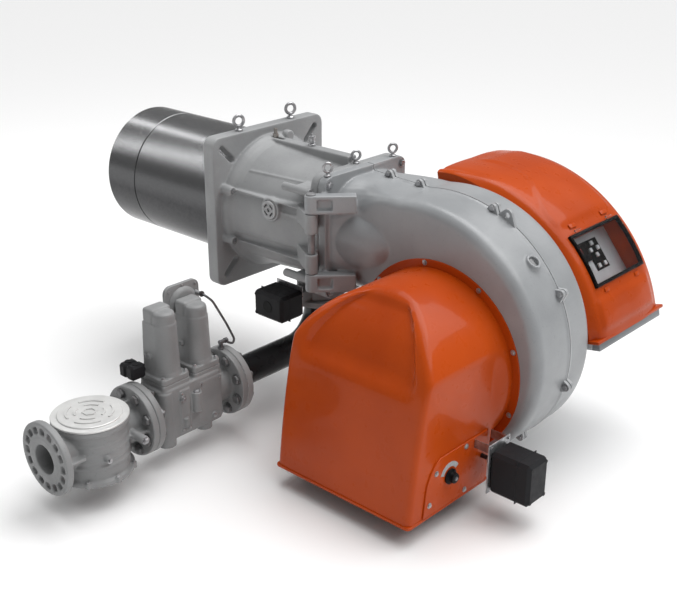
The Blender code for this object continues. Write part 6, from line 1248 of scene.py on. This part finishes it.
FOOT_PLATE_Z = -0.3222
for side, place, height in (("inlet", CHAMBERS[0], 0.205), ("outlet", CHAMBERS[1], 0.193)):
    cap = FOOT_PLATE_Z + height - 0.040
    corners = [(TRAIN_X + u, place + v) for u in (-0.041, 0.041) for v in (-0.039, 0.039)]
    foot = plate(rounded(0.050, 0.0475, 0.010, 5, (TRAIN_X, place)), FOOT_PLATE_Z, -0.3062, "Z")
    lid_block = block((TRAIN_X - 0.0405, place - 0.0335, cap - 0.004),
                      (TRAIN_X + 0.0040, place + 0.0335, cap + 0.040), 0.009, 4)
    dome = turned([(0, cap - 0.004), (0.0325, cap - 0.004), (0.0315, cap + 0.022), (0.0290, cap + 0.029),
                   (0.0220, cap + 0.033), (0, cap + 0.034)], "Z", (TRAIN_X + 0.0090, place, 0), 64)
    bits = [column(place, -0.310, -0.296, 1.06, 1.0), column(place, -0.300, cap, 0.98, 0.90), lid_block, dome,
            block((TRAIN_X - 0.046, place - 0.012, cap - 0.075), (TRAIN_X - 0.040, place + 0.012, cap - 0.018)),
            bar(0.008, 0.036, 0.043, "Y", (TRAIN_X - 0.012, place, -0.250), 24),
            bar(0.008, -0.043, -0.036, "Y", (TRAIN_X - 0.012, place, -0.250), 24)]
    bits += [bar(0.0068, -0.312, -0.3025, "Z", (x, y, 0), 20) for x, y in corners]
    stem_hole = bar(0.0072, -0.335, -0.2865, "Z", (TRAIN_X, place, 0), 24)
    mesh = worked("actuator", foot, [add(*bits)] + melt(0.0017, 3, 0.32) + [cut(stem_hole)])
    seat("actuator_cast_" + side, mesh, TRAIN_PAINT, "head_and_train",
         ("valve_actuator_" + side,), 60)
    fastened("actuator_screws_" + side, gather(
        bolts([(x, y, -0.3027) for x, y in corners], "Z", 0.008, 0.005, 1.15),
        bolts([(TRAIN_X - 0.022, place - 0.0425, -0.250)], "-Y", 0.009, 0.004, 1.1)), "head_and_train")
DRUM_Y, DRUM_Z = -0.485, -0.160
drum = turned([(0, 0.1600), (0.016, 0.1600), (0.018, 0.1615), (0.018, 0.1660), (0.040, 0.1670), (0.047, 0.1700),
               (0.050, 0.1760), (0.050, 0.1865), (0.044, 0.1940), (0.036, 0.1975), (0, 0.1975)], "X",
              (0, DRUM_Y, DRUM_Z), 96)
joint_plates = [plate(rounded(half, half, 0.022, 8, (DRUM_Y, DRUM_Z)), low, high)
                for half, low, high in ((0.060, 0.1735, 0.1785), (0.0588, 0.1780, 0.1800), (0.060, 0.1795, 0.1850))]
for flat in joint_plates:
    round_off(flat, rims(flat, "X"), 0.0006, 2)
REGULATOR_SCREWS = [(0.1848, DRUM_Y + u, DRUM_Z + v) for u, v in (
    (0.047, 0.047), (-0.047, 0.047), (-0.047, -0.047), (0.047, -0.047), (0.0545, 0), (-0.0545, 0), (0, 0.0545),
    (0, -0.0545))]
make("regulator_drum", gather(drum, *joint_plates, bar(0.0060, 0.1870, 0.2097, "X", (0, -0.439, -0.138), 24),
                              bar(0.0120, 0.1920, 0.1997, "X", (0, CHAMBERS[1], -0.195), 24)),
     TRAIN_PAINT, "head_and_train", ("governor_housing",), 30)
fastened("regulator_screws", bolts(REGULATOR_SCREWS, "X", 0.006, 0.003, 1.1), "head_and_train")


# Impulse tube and pressure switch: a thin bent steel tube from the regulator to an elbow in the rear
# flange, and a black moulded switch in two lobes on a stub of the inlet actuator.
def swept(path, radius, sides=16):
    """Round bar bent along a run of points."""
    path = [Vector(point) for point in path]
    rings, normal = [], None
    for i, point in enumerate(path):
        run = (path[min(i + 1, len(path) - 1)] - path[max(i - 1, 0)]).normalized()
        normal = run.orthogonal() if normal is None else normal
        normal = (normal - run * normal.dot(run)).normalized()
        rings.append([point + (normal * math.cos(math.tau * k / sides)
                               + run.cross(normal) * math.sin(math.tau * k / sides)) * radius
                      for k in range(sides)])
    return closed_skin(rings)


def bent(points, reach, steps=6):
    """Run of points with each corner turned into a bend that starts the given distance before it."""
    points = [Vector(point) for point in points]
    path = [points[0]]
    for before, corner, after in zip(points, points[1:], points[2:]):
        back = min(reach, (before - corner).length * 0.45)
        forth = min(reach, (after - corner).length * 0.45)
        one = corner + (before - corner).normalized() * back
        two = corner + (after - corner).normalized() * forth
        path += [one.lerp(corner, t).lerp(corner.lerp(two, t), t) for t in (k / steps for k in range(steps + 1))]
    return path + [points[-1]]


tube_run = bent([(0.2109, -0.439, -0.138), (0.2240, -0.437, -0.1395), (0.2330, -0.418, -0.160),
                 (0.2425, -0.378, -0.240), (0.2430, -0.351, -0.296), (0.2430, -0.357, -0.3085),
                 (0.2430, -0.374, -0.300),
                 (0.2430, -0.386, -0.290), (0.2430, -0.403, -0.2890), (0.2430, -0.403, -0.3106)], 0.010)
TUBE_STEEL = patterned("dark_tube_steel", (0.16, 0.16, 0.165), 0.8, 0.38,
                       tones=(60, 5, (0.11, 0.11, 0.115), (0.21, 0.21, 0.215)), bumps=(500, 3, 0.00008))
fittings = [moved(turned([(0, 0), (0.0095, 0), (0.0095, 0.008), (0, 0.008)], steps=6),
                  Matrix.Translation((0.243, -0.403, -0.3104))),
            bar(0.0060, -0.304, -0.2880, "Z", (0.243, -0.403, 0), 20),
            turned([(0, -0.2900), (0.0075, -0.2900), (0.0075, -0.2855), (0, -0.2855)], "Z", (0.243, -0.403, 0), 6),
            bar(0.0060, -0.4090, -0.3840, "Y", (0.243, 0, -0.2895), 20),
            turned([(0, -0.3880), (0.0085, -0.3880), (0.0085, -0.3800), (0, -0.3800)], "Y", (0.243, 0, -0.2893), 6),
            turned([(0, 0.2098), (0.0085, 0.2098), (0.0085, 0.2165), (0, 0.2165)], "X", (0, -0.439, -0.138), 6)]
make("impulse_tube_bent", gather(swept(tube_run, 0.0034), *fittings), TUBE_STEEL, "head_and_train",
     ("impulse_tube",))
lobes = [block((0.170, -0.7065, -0.3090), (0.1985, -0.6585, -0.2690), 0.0065, 1),
         block((0.2015, -0.7065, -0.3090), (0.2300, -0.6585, -0.2670), 0.0065, 1),
         block((0.175, -0.7020, -0.3060), (0.225, -0.6620, -0.2750), 0.002, 1),
         bar(0.0095, -0.2685, -0.2655, "Z", (0.2158, -0.6825, 0), 32),
         bar(0.0095, -0.2705, -0.2675, "Z", (0.1843, -0.6825, 0), 32),
         turned([(0, -0.6600), (0.0090, -0.6600), (0.0090, -0.6565), (0.0060, -0.6555), (0.0060, -0.6552),
                 (0, -0.6552)], "Y", (0.215, 0, -0.2887), 24)]
make("pressure_switch_moulded", gather(*lobes), BLACK_MOULD, "head_and_train",
     ("gas_pressure_switch",))


# Flange bolts of the gas train: hexagon bolts one way and nuts with stud ends the other way, darker and
# duller than the rest, with a thin black gasket between each pair of flanges.
DULL_STEEL = patterned("dull_bolt_steel", (0.20, 0.20, 0.205), 0.6, 0.48,
                       tones=(50, 5, (0.13, 0.13, 0.133), (0.25, 0.25, 0.253)), bumps=(400, 3, 0.0001))
ACROSS_FLATS, NUT_SEATS = 0.024, (-0.6922, -0.3729)
heads = [bolts(flange_ring(y), "-Y", ACROSS_FLATS, 0.010, 1.2) for y in (-0.7321, -0.4132)]
fastened("train_bolts", gather(*heads), "head_and_train", DULL_STEEL)
studs = [bar(0.0075, y, y + 0.016, "Y", (x, 0, z), 16) for seat_y in NUT_SEATS for x, y, z in flange_ring(seat_y)]
nuts = [bolts(flange_ring(y), "Y", ACROSS_FLATS, 0.011, 1.2) for y in NUT_SEATS]
fastened("train_nuts", gather(*nuts, *studs), "head_and_train", DULL_STEEL)
gaskets = [turned([(0.046, low), (0.0955, low), (0.0955, high), (0.046, high)], "Y", TRAIN_AXIS, 64)
           for low, high in ((-0.7135, -0.7108), (-0.3942, -0.3915))]
make("flange_gaskets", gather(*gaskets), BLACK_MOULD, "head_and_train")


# Gas pipe and butterfly: a glossy black steel pipe welded into its flanges, a grey butterfly casting
# under the head, and the black moulded servo on its zinc-plated plate.
PIPE_PAINT = glossy_paint("pipe_black_paint", (0.010, 0.010, 0.011), (0.016, 0.016, 0.017), 0.28, 0.5, 0.00004)
pipe_run = [(TRAIN_X, -0.3900, TRAIN_Z), (TRAIN_X, -0.250, TRAIN_Z)]
ELBOW = 0.114
pipe_run += [(TRAIN_X, -ELBOW + ELBOW * math.sin(math.radians(a)), TRAIN_Z + ELBOW * (1 - math.cos(math.radians(a))))
             for a in range(0, 91, 5)]
pipe_run.append((TRAIN_X, 0, -0.2650))
pipe_flanges = [pipe_flange(-0.3927, -0.3727),
                turned([(0, -0.2793), (0.0785, -0.2793), (0.0800, -0.2778), (0.0800, -0.2628), (0.0785, -0.2613),
                        (0, -0.2613)], "Z", GAS_BRANCH, 96)]
welds = [turned([(0.0435, -0.3732), (0.0520, -0.3732), (0.0500, -0.3700), (0.0435, -0.3670)], "Y",
                TRAIN_AXIS, 64),
         turned([(0.0435, -0.2790), (0.0520, -0.2790), (0.0500, -0.2820), (0.0435, -0.2850)], "Z", GAS_BRANCH, 64)]
pipe_bore = swept([(TRAIN_X, -0.42, TRAIN_Z)] + pipe_run[1:-1] + [(TRAIN_X, 0, -0.24)], 0.040, 48)
pipe_mesh = worked("pipe", swept(pipe_run, 0.04445, 64), [cut(pipe_bore.copy())])
seat("gas_pipe_welded", pipe_mesh, PIPE_PAINT, "head_and_train", ("gas_pipe",), 35)
flange_mesh = worked("pipe_flanges", gather(*pipe_flanges), [cut(pipe_bore)])
seat("gas_pipe_flanges", flange_mesh, TRAIN_PAINT, "head_and_train", (), 35)
make("pipe_welds", gather(*welds), PIPE_PAINT, "head_and_train")
valve_ring = turned([(0.040, -0.2610), (0.0645, -0.2610), (0.0660, -0.2595), (0.0660, -0.2165), (0.0645, -0.2150),
                     (0.040, -0.2150)], "Z", GAS_BRANCH, 96)
ring_steps = [add(block((TRAIN_X - 0.030, -0.1097, -0.256), (TRAIN_X + 0.030, -0.046, -0.220), 0.003, 2)),
              cut(bar(0.0395, -0.300, -0.200, "Z", GAS_BRANCH, 64),
                  bar(0.0064, -0.120, 0.055, "Y", (TRAIN_X, 0, -0.238), 24))]
ring_mesh = worked("butterfly_ring", valve_ring, ring_steps + melt(0.0017, 3, 0.30))
seat("butterfly_ring_cast", ring_mesh, TRAIN_PAINT, "head_and_train",
     ("gas_butterfly_body",), 60)
case = servo_box((0.170, -0.205, -0.288), (0.290, -0.110, -0.206), "Y", 0.036)
dial = turned([(0, -0.2062), (0.0180, -0.2062), (0.0190, -0.2055), (0.0190, -0.2035), (0, -0.2035)], "Y",
              (0.230, 0, -0.247), 48)
make("gas_servo_case", gather(case, dial), BLACK_MOULD, "head_and_train", ("gas_servo",))
make("servo_plate", block((0.176, -0.1118, -0.284), (0.284, -0.1098, -0.196), 0.0006, 1), ZINC_STEEL,
     "head_and_train")
